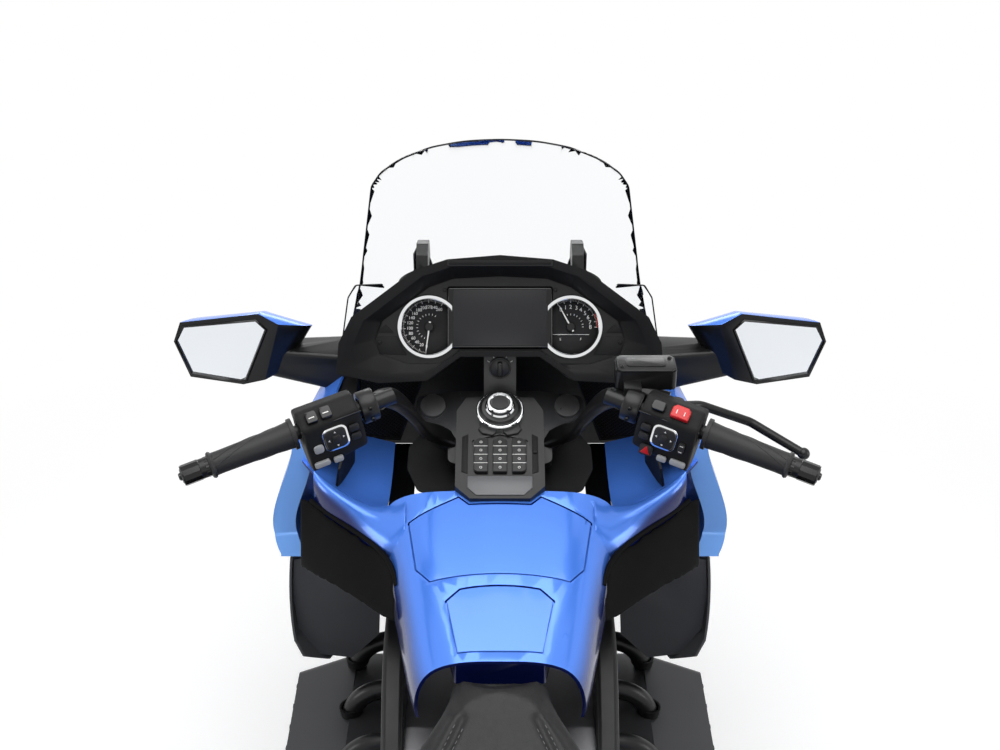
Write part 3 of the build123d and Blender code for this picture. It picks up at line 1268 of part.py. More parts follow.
# ---------------------------------------------------------------- brake controls
def master_cylinder():
    """Brake master cylinder with its reservoir, on the right bar inboard of the switch box."""
    at = bar_point(HOUSING_END + 18)
    clamp = rod(bar_point(HOUSING_END + 4), bar_point(HOUSING_END + 30), 23)
    body = rod(at + Vector(-20, 44, 8), at + Vector(56, 22, -6), 15)
    tank = Pos(at.X + 22, at.Y + 50, at.Z + 12) * extrude(fillet(Rectangle(92, 48).vertices(), 10), 30)
    web = Pos(at.X, at.Y + 26, at.Z + 6) * Box(26, 46, 44)
    piece = clamp + body + tank + web
    return carve(piece, NODES["switch_housings"], NODES["handlebar"])


LEVER_POINTS = [(0, 40, 6), (40, 62, -6), (118, 58, -34), (196, 18, -66)]


def brake_lever():
    """Right-hand brake lever with its ball end."""
    at = bar_point(HOUSING_START + 36)
    points = [at + Vector(*p) for p in LEVER_POINTS]
    piece = tube_path(points, 30, 7)
    piece += Pos(points[-1].X, points[-1].Y, points[-1].Z) * Sphere(9.5)
    piece += rod(points[0] - Vector(0, 0, 9), points[0] + Vector(0, 0, 9), 12)
    return carve(piece, NODES["master_cylinder"], NODES["switch_housings"], NODES["grips"])


# ---------------------------------------------------------------- assembly
BUILDERS = [
    ("main_frame", main_frame), ("engine", engine), ("side_fairings", side_fairings), ("front_cowl", front_cowl),
    ("headlights", headlights), ("lower_cowls", lower_cowls), ("cylinder_heads", cylinder_heads),
    ("exhausts", exhausts), ("swingarm", swingarm), ("instrument_hood", instrument_hood),
    ("instrument_panel", instrument_panel), ("windscreen", windscreen), ("wind_deflectors", wind_deflectors),
    ("screen_posts", screen_posts), ("mirrors", mirrors), ("mirror_glasses", mirror_glasses),
    ("top_shelter", top_shelter), ("pocket_lid", pocket_lid), ("fuel_lid", fuel_lid), ("console", console),
    ("knee_pads", knee_pads), ("inner_panels", inner_panels), ("inner_cowl", inner_cowl),
    ("bowl_panels", bowl_panels), ("radiators", radiators), ("rider_seat", rider_seat),
    ("passenger_seat", passenger_seat), ("side_covers", side_covers), ("tail_cowl", tail_cowl),
    ("rear_fender", rear_fender), ("licence_plate", licence_plate), ("tail_light", tail_light),
    ("grab_rails", grab_rails), ("footpegs", footpegs),
    ("saddlebag_right", lambda: saddlebag(1)), ("saddlebag_left", lambda: saddlebag(-1)),
    ("saddlebag_door_right", lambda: saddlebag_door(1)), ("saddlebag_door_left", lambda: saddlebag_door(-1)),
    ("centre_stand", centre_stand), ("side_stand", side_stand),
    ("front_tyre", lambda: tyre(FRONT_AXLE, FRONT_TYRE_R, FRONT_TYRE_W, FRONT_RIM_R, FRONT_RIM_W)),
    ("front_rim", front_wheel),
    ("rear_tyre", lambda: tyre(REAR_AXLE, REAR_TYRE_R, REAR_TYRE_W, REAR_RIM_R, REAR_RIM_W)),
    ("rear_rim", rear_wheel),
    ("fork", fork), ("triple_clamps", triple_clamps), ("steering_cover", steering_cover),
    ("front_fender", front_fender),
    ("front_calipers", front_calipers), ("handlebar", handlebar), ("grips", grips),
    ("switch_housings", switch_housings), ("master_cylinder", master_cylinder), ("brake_lever", brake_lever),
]

os.makedirs("parts", exist_ok=True)
for name, build in BUILDERS:
    export_step(node(name, build()), f"parts/{name}.step")
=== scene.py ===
# %% [markdown]
# # A touring motorcycle, seen from the rider's eye
# The machine is already built as a measured frame of named solids. This lesson gives that frame its looks:
# the finish of every surface, the dials and switches, the stitched seat, the tyre tread and the small
# fastenings. Every length is in metres, +X is the rider's right, +Y is forward and +Z is up.

# %% Load the fixed frame
import json
import math

import bmesh
import bpy
from mathutils import Matrix, Vector
from mathutils.bvhtree import BVHTree


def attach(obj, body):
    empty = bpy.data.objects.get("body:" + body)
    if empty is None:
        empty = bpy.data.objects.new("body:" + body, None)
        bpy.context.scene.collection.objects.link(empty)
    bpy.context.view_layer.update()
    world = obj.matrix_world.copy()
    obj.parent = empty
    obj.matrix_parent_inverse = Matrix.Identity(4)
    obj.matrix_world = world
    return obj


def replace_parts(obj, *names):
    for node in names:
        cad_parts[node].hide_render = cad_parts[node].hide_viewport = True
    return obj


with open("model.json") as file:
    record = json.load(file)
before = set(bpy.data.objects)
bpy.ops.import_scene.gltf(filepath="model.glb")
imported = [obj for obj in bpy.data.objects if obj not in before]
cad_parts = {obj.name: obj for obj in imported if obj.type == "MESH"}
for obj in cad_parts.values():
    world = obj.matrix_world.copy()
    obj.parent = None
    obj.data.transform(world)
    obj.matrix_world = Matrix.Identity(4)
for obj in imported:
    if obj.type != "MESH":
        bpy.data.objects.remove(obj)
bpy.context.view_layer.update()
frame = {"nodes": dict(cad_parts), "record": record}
NODES = frame["nodes"]

# %% [markdown]
# The viewer stands behind the rider's seat and looks forward and down over the bars. A camera looks along its
# own -Z, so a pitch of 60 degrees from straight down leaves it 30 degrees below level.

# %% Camera
EYE = Vector((0, -1.5915, 2.230))
LOOK_DOWN = math.radians(30)
LENS = 52.34

view = bpy.data.cameras.new("rider_view")
view.lens = LENS
view.sensor_width = 36
view.clip_end = 50
camera = bpy.data.objects.new("rider_view", view)
camera.location = EYE
camera.rotation_euler = (math.pi / 2 - LOOK_DOWN, 0, 0)
bpy.context.scene.collection.objects.link(camera)
bpy.context.scene.camera = camera
bpy.context.scene.view_settings.view_transform = "Standard"
print("camera lens:", LENS, "mm")

# %% [markdown]
# A studio for a vehicle is a white sweep under wide soft lamps. The sweep must read as pure white behind the
# machine without pouring light on it, so the world and the floor show white only to rays that come from the
# camera or from a mirror-like bounce, and stay a calm grey for the light that falls on the paint.

# %% World and floor
def new_material(name):
    """Empty node material and its tree."""
    material = bpy.data.materials.new(name)
    material.use_nodes = True
    material.node_tree.nodes.clear()
    return material, material.node_tree


def add(tree, kind, **values):
    """Node of a kind; keyword names set its inputs, or its own properties where it has them."""
    item = tree.nodes.new("ShaderNode" + kind)
    for key, value in values.items():
        if hasattr(item, key):
            setattr(item, key, value)
        else:
            item.inputs[key.replace("_", " ").title()].default_value = value
    return item


def wire(tree, *pairs):
    """Links, each from an output to an input."""
    for source, target in pairs:
        tree.links.new(source, target)


def seen_directly(tree):
    """1 for camera, mirror and see-through rays, 0 for the light that falls on things."""
    path = add(tree, "LightPath")
    first = add(tree, "Math", operation="MAXIMUM")
    second = add(tree, "Math", operation="MAXIMUM")
    wire(tree, (path.outputs["Is Camera Ray"], first.inputs[0]),
         (path.outputs["Is Glossy Ray"], first.inputs[1]), (first.outputs[0], second.inputs[0]),
         (path.outputs["Is Transmission Ray"], second.inputs[1]))
    return second.outputs[0]


AMBIENT = 0.34
WHITE = (1, 1, 1, 1)
world = bpy.data.worlds.new("studio")
world.use_nodes = True
sky = world.node_tree
sky.nodes.clear()
soft = add(sky, "Background", Color=WHITE, Strength=AMBIENT)
white = add(sky, "Background", Color=WHITE, Strength=1.0)
blend = add(sky, "MixShader")
world_out = add(sky, "OutputWorld")
wire(sky, (seen_directly(sky), blend.inputs[0]), (soft.outputs[0], blend.inputs[1]),
     (white.outputs[0], blend.inputs[2]), (blend.outputs[0], world_out.inputs[0]))
bpy.context.scene.world = world
print("world: ambient light", AMBIENT)

# %% [markdown]
# The floor has three faces. Near the machine the camera sees pale paint that takes the shadow. Farther off it
# fades to plain white, where the lamps no longer reach. To the light that bounces about it is a dull grey, or
# it would shine up under the flanks and wash out their depth.

# %% Floor
FLOOR_REACH = 14.0
FLOOR_PAINT, FLOOR_BOUNCE, FLOOR_GLOW = (0.8, 0.8, 0.8, 1), (0.16, 0.16, 0.16, 1), 0.34
PAINT_ENDS, WHITE_STARTS = 1.3, 2.6
floor_mesh = bmesh.new()
bmesh.ops.create_grid(floor_mesh, x_segments=2, y_segments=2, size=FLOOR_REACH)
floor_data = bpy.data.meshes.new("floor")
floor_mesh.to_mesh(floor_data)
floor_mesh.free()
floor = bpy.data.objects.new("floor", floor_data)
bpy.context.scene.collection.objects.link(floor)
floor_material, tree = new_material("white_floor")
painted = add(tree, "BsdfDiffuse", Color=FLOOR_PAINT)
glow = add(tree, "Emission", Color=WHITE, Strength=FLOOR_GLOW)
near = add(tree, "AddShader")
far = add(tree, "Emission", Color=WHITE, Strength=1.0)
dull = add(tree, "BsdfDiffuse", Color=FLOOR_BOUNCE)
spot = add(tree, "TexCoord")
reach = add(tree, "VectorMath", operation="LENGTH")
fade = add(tree, "MapRange", From_Min=PAINT_ENDS, From_Max=WHITE_STARTS)
shown = add(tree, "MixShader")
floor_mix = add(tree, "MixShader")
floor_out = add(tree, "OutputMaterial")
wire(tree, (painted.outputs[0], near.inputs[0]), (glow.outputs[0], near.inputs[1]),
     (spot.outputs["Object"], reach.inputs[0]), (reach.outputs["Value"], fade.inputs["Value"]),
     (fade.outputs[0], shown.inputs[0]), (near.outputs[0], shown.inputs[1]), (far.outputs[0], shown.inputs[2]),
     (seen_directly(tree), floor_mix.inputs[0]), (dull.outputs[0], floor_mix.inputs[1]),
     (shown.outputs[0], floor_mix.inputs[2]), (floor_mix.outputs[0], floor_out.inputs[0]))
floor_data.materials.append(floor_material)
print("floor:", 2 * FLOOR_REACH, "m square")

# %% [markdown]
# One broad lamp overhead models the tank, and a tall strip at each side draws the long highlights that run
# down the painted wings.

# %% Lamps
LAMPS = [
    ("overhead", (0, -0.1, 3.3), (0, 0, 0), (2.2, 2.6), 62),
    ("left_strip", (-2.6, -0.2, 1.5), (0, math.radians(-72), 0), (1.2, 0.7), 14),
    ("right_strip", (2.6, -0.2, 1.5), (0, math.radians(72), 0), (1.2, 0.7), 14),
    ("front_fill", (0, 3.4, 1.8), (math.radians(-64), 0, 0), (2.0, 0.9), 18),
    ("rear_fill", (0, -3.8, 1.5), (math.radians(72), 0, 0), (2.0, 0.9), 16),
]
for name, spot_at, turn, size, power in LAMPS:
    lamp = bpy.data.lights.new(name, "AREA")
    lamp.shape = "RECTANGLE"
    lamp.size, lamp.size_y = size
    lamp.energy = power
    holder = bpy.data.objects.new(name, lamp)
    holder.location = spot_at
    holder.rotation_euler = turn
    bpy.context.scene.collection.objects.link(holder)
print("lamps:", len(LAMPS))

# %% [markdown]
# Every finish here is one recipe with different numbers. A Principled shader gets its colour from two close
# shades mixed by soft noise, its roughness from a second noise, and its relief from a fine noise or cell
# pattern through a Bump node. All patterns read Object coordinates, so they stay at their real size. A finish
# may also carry painted shade: a deeper colour on its walls that stands for the shade and dark reflections
# they would show. It is mixed in by the way the surface faces in the machine's own axes, so it stays in place
# from every side.

# %% The finish recipe
def mapped(tree, pattern, scale, detail=3.0):
    """Noise or Voronoi pattern at a real scale: cells per metre."""
    origin = add(tree, "TexCoord")
    if pattern == "noise":
        texture = add(tree, "TexNoise", Detail=detail, Scale=scale)
    else:
        texture = add(tree, "TexVoronoi", Scale=scale)
    wire(tree, (origin.outputs["Object"], texture.inputs["Vector"]))
    return texture


def spread(tree, source, low, high):
    """Pattern value spread between low and high."""
    reach = add(tree, "MapRange", To_Min=low, To_Max=high)
    wire(tree, (source, reach.inputs["Value"]))
    return reach.outputs[0]


WALL_SLOPE, TOP_SLOPE = 0.15, 0.72
WEAR_SCALE = 7


def finish(name, color, shade, rough, cloud, grain=None, gloss=0.5, painted_wall_shade=None, **shader):
    """Principled finish: two shades clouded together, uneven roughness and an optional fine relief.

    grain is (pattern, cells per metre, height in metres, strength). gloss is the shader's specular level.
    flank is painted shade for walls: a deeper colour that takes over where the surface turns away from
    the sky, standing for shade.
    """
    material, tree = new_material(name)
    body = add(tree, "BsdfPrincipled")
    out = add(tree, "OutputMaterial")
    cloudy = mapped(tree, "noise", cloud)
    wear = mapped(tree, "noise", cloud * WEAR_SCALE)
    mix = add(tree, "Mix", data_type="RGBA")
    mix.inputs[6].default_value = (*[c * shade for c in color], 1)
    mix.inputs[7].default_value = (*color, 1)
    tint = mix.outputs[2]
    wire(tree, (body.outputs[0], out.inputs[0]), (cloudy.outputs[0], mix.inputs[0]),
         (spread(tree, wear.outputs[0], *rough), body.inputs["Roughness"]))
    # Painted shade: the colour turns to the deeper wall colour where the surface faces away from the sky.
    if painted_wall_shade:
        facing = add(tree, "TexCoord")
        split = add(tree, "SeparateXYZ")
        lean = add(tree, "MapRange", interpolation_type="SMOOTHSTEP", From_Min=WALL_SLOPE, From_Max=TOP_SLOPE)
        painted_shade_mix = add(tree, "Mix", data_type="RGBA")
        painted_shade_mix.inputs[6].default_value = (*painted_wall_shade, 1)
        wire(tree, (facing.outputs["Normal"], split.inputs[0]), (split.outputs["Z"], lean.inputs["Value"]),
             (lean.outputs[0], painted_shade_mix.inputs[0]), (tint, painted_shade_mix.inputs[7]))
        tint = painted_shade_mix.outputs[2]
    wire(tree, (tint, body.inputs["Base Color"]))
    if grain:
        pattern, scale, height, strength = grain
        relief = mapped(tree, pattern, scale, 2.0)
        bump = add(tree, "Bump", Strength=strength, Distance=height)
        wire(tree, (relief.outputs[0], bump.inputs["Height"]), (bump.outputs[0], body.inputs["Normal"]))
    body.inputs["Specular IOR Level"].default_value = gloss
    for key, value in shader.items():
        body.inputs[key.replace("_", " ")].default_value = value
    return material


# %% [markdown]
# The paint is a deep blue metallic under clear lacquer. Metal flake is far too small to see as dots at arm's
# length, so a fine cell pattern only tilts the surface a little under a smooth coat.

# %% Paints, plastics, rubber and metals
FLAKE = ("cells", 2600, 0.00005, 0.08)
PAINT = finish("blue_metallic", (0.075, 0.245, 0.90), 0.90, (0.20, 0.26), 1.5, FLAKE, 0.35,
               Metallic=0.25, Coat_Weight=0.35, Coat_Roughness=0.04)
# A lighter copy of the paint, used as painted highlight on the rider-facing band of the side fairings.
HIGHLIGHT_PAINT = finish("bright_blue_edge", (0.17, 0.42, 0.98), 0.94, (0.20, 0.26), 1.5, FLAKE, 0.35,
                      Metallic=0.2, Coat_Weight=0.35, Coat_Roughness=0.04)
# Painted shade: the tank paint's walls turn a deep navy that stands for shade and dark reflections.
SHADED_TANK_PAINT = finish("blue_tank_with_painted_shade", (0.085, 0.26, 0.93), 0.92, (0.18, 0.24), 1.5, FLAKE, 0.3, (0.006, 0.014, 0.12),
                    Metallic=0.25, Coat_Weight=0.3, Coat_Roughness=0.04)
GRAINED = finish("grained_black", (0.011, 0.011, 0.0115), 0.7, (0.5, 0.62), 9,
                 ("cells", 900, 0.0002, 0.35), 0.14)
SOFT_BLACK = finish("pad_black", (0.004, 0.004, 0.0045), 0.8, (0.46, 0.56), 6,
                    ("noise", 1400, 0.0001, 0.12), 0.05)
SATIN = finish("satin_black", (0.007, 0.007, 0.0075), 0.8, (0.28, 0.38), 9, ("noise", 700, 0.0001, 0.15), 0.3)
GLOSS = finish("gloss_black", (0.003, 0.003, 0.0035), 0.8, (0.08, 0.14), 5, None, 0.35)
DIAL_FACE = finish("dial_face", (0.012, 0.012, 0.013), 0.9, (0.5, 0.6), 30,
                   ("noise", 2500, 0.00005, 0.1), 0.15)
DISPLAY = finish("display_glass", (0.026, 0.026, 0.028), 0.96, (0.28, 0.34), 4, None, 0.15)
BUTTON = finish("button_caps", (0.02, 0.02, 0.021), 0.85, (0.36, 0.46), 40,
                ("noise", 2500, 0.00005, 0.15), 0.25)
PALE_BUTTON = finish("pale_buttons", (0.36, 0.37, 0.38), 0.92, (0.34, 0.42), 40,
                     ("noise", 2500, 0.00005, 0.1), 0.4)
GREY_PLATE = finish("grey_plate", (0.105, 0.108, 0.115), 0.9, (0.3, 0.4), 12,
                    ("noise", 1800, 0.00005, 0.2), 0.45)
DARK_COWL = finish("dark_grey_cowl", (0.105, 0.108, 0.115), 0.9, (0.42, 0.52), 7,
                   ("noise", 900, 0.0001, 0.2), 0.25)
RUBBER = finish("grip_rubber", (0.022, 0.022, 0.023), 0.8, (0.42, 0.55), 30,
                ("noise", 1500, 0.0001, 0.3), 0.3)
TYRE = finish("tyre_rubber", (0.014, 0.014, 0.014), 0.7, (0.7, 0.85), 14, ("noise", 900, 0.0002, 0.4), 0.25)
LEATHER = finish("seat_leather", (0.012, 0.012, 0.013), 0.7, (0.42, 0.56), 16,
                 ("cells", 520, 0.0004, 0.5), 0.3)
THREAD = finish("seat_thread", (0.16, 0.16, 0.17), 0.8, (0.6, 0.75), 60, ("noise", 3000, 0.0001, 0.4), 0.2)
ALLOY = finish("cast_alloy", (0.30, 0.30, 0.31), 0.8, (0.38, 0.5), 8,
               ("noise", 420, 0.0002, 0.3), Metallic=1.0)
DARK_ALLOY = finish("coated_alloy", (0.06, 0.061, 0.065), 0.8, (0.34, 0.44), 8,
                    ("noise", 500, 0.0001, 0.25), 0.3,
                    Metallic=0.6)
FRAME_COAT = finish("frame_coating", (0.012, 0.012, 0.013), 0.8, (0.34, 0.46), 8,
                    ("noise", 600, 0.0001, 0.2), 0.25)
CHROME = finish("chrome_plate", (0.78, 0.79, 0.8), 0.96, (0.05, 0.10), 4, Metallic=1.0)
EXHAUST = finish("exhaust_steel", (0.42, 0.41, 0.40), 0.86, (0.18, 0.28), 6,
                 ("noise", 300, 0.0001, 0.1), Metallic=1.0)
STEEL = finish("bright_steel", (0.46, 0.46, 0.47), 0.8, (0.24, 0.36), 14,
               ("noise", 900, 0.0001, 0.15), Metallic=1.0)
WHEEL = finish("wheel_coating", (0.13, 0.13, 0.135), 0.85, (0.28, 0.38), 8,
               ("noise", 600, 0.0001, 0.1), Metallic=0.9)
MIRROR = finish("mirror_silver", (0.80, 0.83, 0.86), 0.99, (0.01, 0.02), 3, Metallic=1.0)
PLATE = finish("blank_plate", (0.72, 0.72, 0.70), 0.94, (0.3, 0.4), 8, None, 0.3)
MARK = finish("white_marks", (0.82, 0.82, 0.80), 0.96, (0.4, 0.5), 60, None, 0.2)
RED = finish("red_switch", (0.62, 0.012, 0.015), 0.88, (0.26, 0.36), 40, None, 0.4)
AMBER = finish("amber_lens", (0.85, 0.22, 0.01), 0.9, (0.1, 0.18), 20, None, 0.5)
CLEAR = finish("clear_screen", (0.97, 0.98, 0.99), 0.99, (0.01, 0.03), 3,
               None, 0.4, Transmission_Weight=1.0, IOR=1.1)
LENS_CLEAR = finish("clear_lens", (0.95, 0.96, 0.98), 0.98, (0.02, 0.05), 5,
                    None, 0.5, Transmission_Weight=1.0, IOR=1.3)
RED_LENS = finish("red_lens", (0.50, 0.006, 0.008), 0.9, (0.06, 0.12), 6, ("cells", 160, 0.0006, 0.4), 0.5,
                  Transmission_Weight=0.3)
# Near-black finish for the screens' rims: painted shade that stands for the dark edge of a clear sheet.
SCREEN_EDGE_SHADE = finish("screen_edge_painted_shade", (0.006, 0.007, 0.009), 0.8, (0.15, 0.25), 20, None, 0.2)

NODE_FINISH = {
    "main_frame": FRAME_COAT, "engine": ALLOY, "side_fairings": PAINT, "front_cowl": PAINT,
    "headlights": LENS_CLEAR, "lower_cowls": DARK_COWL, "cylinder_heads": DARK_ALLOY, "exhausts": EXHAUST,
    "swingarm": FRAME_COAT, "instrument_hood": GRAINED, "instrument_panel": SATIN, "windscreen": CLEAR,
    "wind_deflectors": CLEAR, "screen_posts": SATIN, "mirrors": SATIN, "mirror_glasses": MIRROR,
    "top_shelter": SHADED_TANK_PAINT, "pocket_lid": PAINT, "fuel_lid": PAINT, "console": SATIN,
    "knee_pads": SOFT_BLACK, "inner_panels": GRAINED, "inner_cowl": GRAINED, "bowl_panels": SHADED_TANK_PAINT,
    "radiators": FRAME_COAT, "steering_cover": GRAINED, "rider_seat": LEATHER, "passenger_seat": LEATHER,
    "side_covers": PAINT, "tail_cowl": PAINT, "rear_fender": GRAINED, "licence_plate": PLATE,
    "tail_light": RED_LENS, "grab_rails": SATIN, "footpegs": DARK_ALLOY, "saddlebag_right": PAINT,
    "saddlebag_left": PAINT,
    "saddlebag_door_right": PAINT, "saddlebag_door_left": PAINT, "centre_stand": FRAME_COAT,
    "side_stand": FRAME_COAT, "front_tyre": TYRE, "front_rim": WHEEL, "rear_tyre": TYRE, "rear_rim": WHEEL,
    "fork": STEEL, "triple_clamps": DARK_ALLOY, "front_fender": PAINT, "front_calipers": DARK_ALLOY,
    "handlebar": SATIN, "grips": RUBBER, "switch_housings": GRAINED, "master_cylinder": SATIN,
    "brake_lever": SATIN,
}
for node, material in NODE_FINISH.items():
    NODES[node].data.materials.clear()
    NODES[node].data.materials.append(material)
print("finished", len(NODE_FINISH), "nodes")

# %% [markdown]
# A measured solid has knife-sharp edges and its curved faces are cut in flats. Real mouldings have small round
# edges that catch the light. A copy of the node is welded, its flats are joined where they lie in one plane,
# and its shading is smoothed up to an angle. A narrow bevel then rounds what is left sharp.

# %% Welded copies with softened edges
WELD, FLAT = 2e-5, math.radians(0.6)
EDGE_WIDTH, SHARP = 0.0012, math.radians(32)


def welded(node):
    """Bmesh of a CAD node with its loose triangles joined."""
    shape = bmesh.new()
    shape.from_mesh(NODES[node].data)
    bmesh.ops.remove_doubles(shape, verts=shape.verts, dist=WELD)
    return shape


def node_copy(node):
    """Welded bmesh of a CAD node, its flats joined too."""
    shape = welded(node)
    bmesh.ops.dissolve_limit(shape, angle_limit=FLAT, verts=shape.verts, edges=shape.edges)
    return shape


def piece(shape, name, material, body, smooth=35):
    """Finished object from a bmesh: smooth shaded up to an angle, with its material, riding on a body."""
    mesh = bpy.data.meshes.new(name)
    shape.to_mesh(mesh)
    shape.free()
    for face in mesh.polygons:
        face.use_smooth = True
    mesh.set_sharp_from_angle(angle=math.radians(smooth))
    mesh.materials.append(material)
    item = bpy.data.objects.new(name, mesh)
    bpy.context.scene.collection.objects.link(item)
    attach(item, body)
    return item


def soften(item, width):
    """Bevel modifier over the sharp edges."""
    bevel = item.modifiers.new("edges", "BEVEL")
    bevel.width = width
    bevel.segments = 2
    bevel.limit_method = "ANGLE"
    bevel.angle_limit = SHARP
    bevel.use_clamp_overlap = True
    bevel.harden_normals = True


BODY_OF = {node: body for body, nodes in frame["record"]["behaviour"]["bodies"].items() for node in nodes}


def stand_in(shape, node, smooth=35):
    """Piece that takes a CAD node's finish and body, and stands for it."""
    item = piece(shape, node + "_moulding", NODE_FINISH[node], BODY_OF[node], smooth)
    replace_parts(item, node)
    return item


MOULDED = ["side_fairings", "top_shelter", "pocket_lid", "fuel_lid", "instrument_hood", "console", "mirrors",
           "tail_cowl", "side_covers", "lower_cowls", "handlebar", "master_cylinder",
           "front_cowl", "front_fender", "saddlebag_right", "saddlebag_left", "saddlebag_door_right",
           "saddlebag_door_left", "screen_posts", "engine", "cylinder_heads", "exhausts",
           "bowl_panels", "inner_panels", "steering_cover", "brake_lever", "triple_clamps", "front_calipers"]
WIDTHS = {"mirrors": 0.0025, "handlebar": 0.002, "cylinder_heads": 0.003}
mouldings = {}
for node in MOULDED:
    mouldings[node] = stand_in(node_copy(node), node)
    soften(mouldings[node], WIDTHS.get(node, EDGE_WIDTH))
print("moulded:", len(mouldings), "pieces")

# %% [markdown]
# The switch housings and knee pads are rounder than a bevel can make them. Their surface is remade in even
# cells and then smoothed a number of times, which melts the corners and leaves the broad faces where they are.

# %% Melted copies
MELTED = {"switch_housings": (0.0028, 7), "knee_pads": (0.0035, 14)}


def even_cells(mesh, cell):
    """New mesh with the same surface, remade in even cells."""
    holder = bpy.data.objects.new("rough", mesh)
    bpy.context.scene.collection.objects.link(holder)
    remade = holder.modifiers.new("cells", "REMESH")
    remade.mode, remade.voxel_size = "VOXEL", cell
    fresh = bpy.data.meshes.new_from_object(holder.evaluated_get(bpy.context.evaluated_depsgraph_get()))
    bpy.data.objects.remove(holder)
    return fresh


def relax(shape, points):
    """One pass of smoothing."""
    bmesh.ops.smooth_vert(shape, verts=points, factor=0.5, use_axis_x=True, use_axis_y=True, use_axis_z=True)


for node, (cell, passes) in MELTED.items():
    mesh = even_cells(NODES[node].data, cell)
    shape = bmesh.new()
    shape.from_mesh(mesh)
    bpy.data.meshes.remove(mesh)
    for _ in range(passes):
        relax(shape, shape.verts)
    print(node, "melted to", len(shape.faces), "faces")
    stand_in(shape, node, 60)

# %% [markdown]
# Small parts are drawn flat in millimetres, where they are easy to think about, and then laid on the machine
# by a matrix that also brings them to metres. A drawing has x to the right, y up and z out of the surface.

# %% Drawing small parts
MM = 0.001
UPRIGHT = Matrix.Scale(MM, 4)
FLIP = Matrix.Scale(-1, 4, (1, 0, 0))
CORNER = math.radians(30)
CORNER_STEPS = 4
MARK_DEPTH = 0.25


def laid_on(origin, right, up):
    """Matrix that lays a drawing on a plane of the machine; the origin is in millimetres."""
    across, above = Vector(right).normalized(), Vector(up).normalized()
    turn = Matrix((across, above, across.cross(above))).transposed().to_4x4()
    return Matrix.Translation(Vector(origin) * MM) @ turn @ UPRIGHT


def moved(x=0, y=0, z=0, turn=0):
    """Shift in the drawing, after a turn in degrees about its z."""
    return Matrix.Translation((x, y, z)) @ Matrix.Rotation(math.radians(turn), 4, "Z")


def put(group, part, *places):
    """Adds a part to a group's mesh at each place, the right way out."""
    store = bpy.data.meshes.new("store")
    for place in places or (Matrix(),):
        copy = part.copy()
        copy.transform(place)
        if place.determinant() < 0:
            bmesh.ops.reverse_faces(copy, faces=copy.faces)
        copy.to_mesh(store)
        group.from_mesh(store)
        copy.free()
    bpy.data.meshes.remove(store)
    part.free()
    return group


def round_off(shape, edge, segments):
    """Rounds every edge that turns by more than CORNER."""
    edges = [e for e in shape.edges if len(e.link_faces) == 2 and e.calc_face_angle() > CORNER]
    bmesh.ops.bevel(shape, geom=edges, offset=edge, offset_type="OFFSET", segments=segments, profile=0.5,
                    affect="EDGES", material=-1, clamp_overlap=True)
    return shape


def block(width, height, depth, edge=1.0, segments=2):
    """Rounded block that stands on z 0."""
    shape = bmesh.new()
    bmesh.ops.create_cube(shape, size=1)
    bmesh.ops.scale(shape, vec=(width, height, depth), verts=shape.verts)
    bmesh.ops.translate(shape, vec=(0, 0, depth / 2), verts=shape.verts)
    return round_off(shape, edge, segments)


def plate(outline, thick, edge=0.5, segments=2):
    """Closed plate over a flat outline, from z 0 up, with rounded edges."""
    shape = bmesh.new()
    base = shape.faces.new([shape.verts.new((x, y, 0)) for x, y in outline])
    raised = bmesh.ops.extrude_face_region(shape, geom=[base])
    top = [item for item in raised["geom"] if isinstance(item, bmesh.types.BMVert)]
    bmesh.ops.translate(shape, vec=(0, 0, thick), verts=top)
    bmesh.ops.recalc_face_normals(shape, faces=shape.faces)
    return round_off(shape, edge, segments) if edge else shape


def around(radius, degrees):
    """Point on a dial, counted anticlockwise from the right."""
    return radius * math.cos(math.radians(degrees)), radius * math.sin(math.radians(degrees))


def circled(place, radius, count, first=0):
    """Places evenly round a circle."""
    return [place @ moved(*around(radius, first + 360 / count * index)) for index in range(count)]


def rounded(width, height, radius):
    """Outline of a rounded rectangle."""
    line = []
    for corner, (sx, sy) in enumerate(((1, 1), (-1, 1), (-1, -1), (1, -1))):
        for step in range(CORNER_STEPS + 1):
            x, y = around(radius, 90 * corner + 90 * step / CORNER_STEPS)
            line.append((sx * (width / 2 - radius) + x, sy * (height / 2 - radius) + y))
    return line


def turned(profile, steps=48):
    """Turned part about z from (radius, height) points."""
    shape = bmesh.new()
    line = [shape.verts.new((r, 0, z)) for r, z in profile]
    edges = [shape.edges.new(pair) for pair in zip(line, line[1:]) if pair[0] is not pair[1]]
    bmesh.ops.spin(shape, geom=line + edges, cent=(0, 0, 0), axis=(0, 0, 1), angle=math.tau, steps=steps,
                   use_merge=True)
    bmesh.ops.remove_doubles(shape, verts=shape.verts, dist=1e-4)
    bmesh.ops.recalc_face_normals(shape, faces=shape.faces)
    return shape


def ring(inner, outer, low, high, steps=64, edge=0.5):
    """Flat ring with small chamfers."""
    return turned([(inner, low), (outer, low), (outer, high - edge), (outer - edge, high), (inner + edge, high),
                   (inner, high - edge), (inner, low)], steps)


def screw(radius):
    """Button head with a socket."""
    return turned([(0, 0), (radius, 0), (radius, radius * 0.35), (radius * 0.72, radius * 0.7),
                   (radius * 0.45, radius * 0.74), (radius * 0.42, radius * 0.2), (0, radius * 0.2)], 18)


def from_curve(curve):
    """Mesh of a curve or text, without its object."""
    holder = bpy.data.objects.new("curve", curve)
    mesh = bpy.data.meshes.new_from_object(holder)
    shape = bmesh.new()
    shape.from_mesh(mesh)
    bpy.data.objects.remove(holder)
    bpy.data.curves.remove(curve)
    bpy.data.meshes.remove(mesh)
    bmesh.ops.remove_doubles(shape, verts=shape.verts, dist=1e-5)
    bmesh.ops.recalc_face_normals(shape, faces=shape.faces)
    return shape


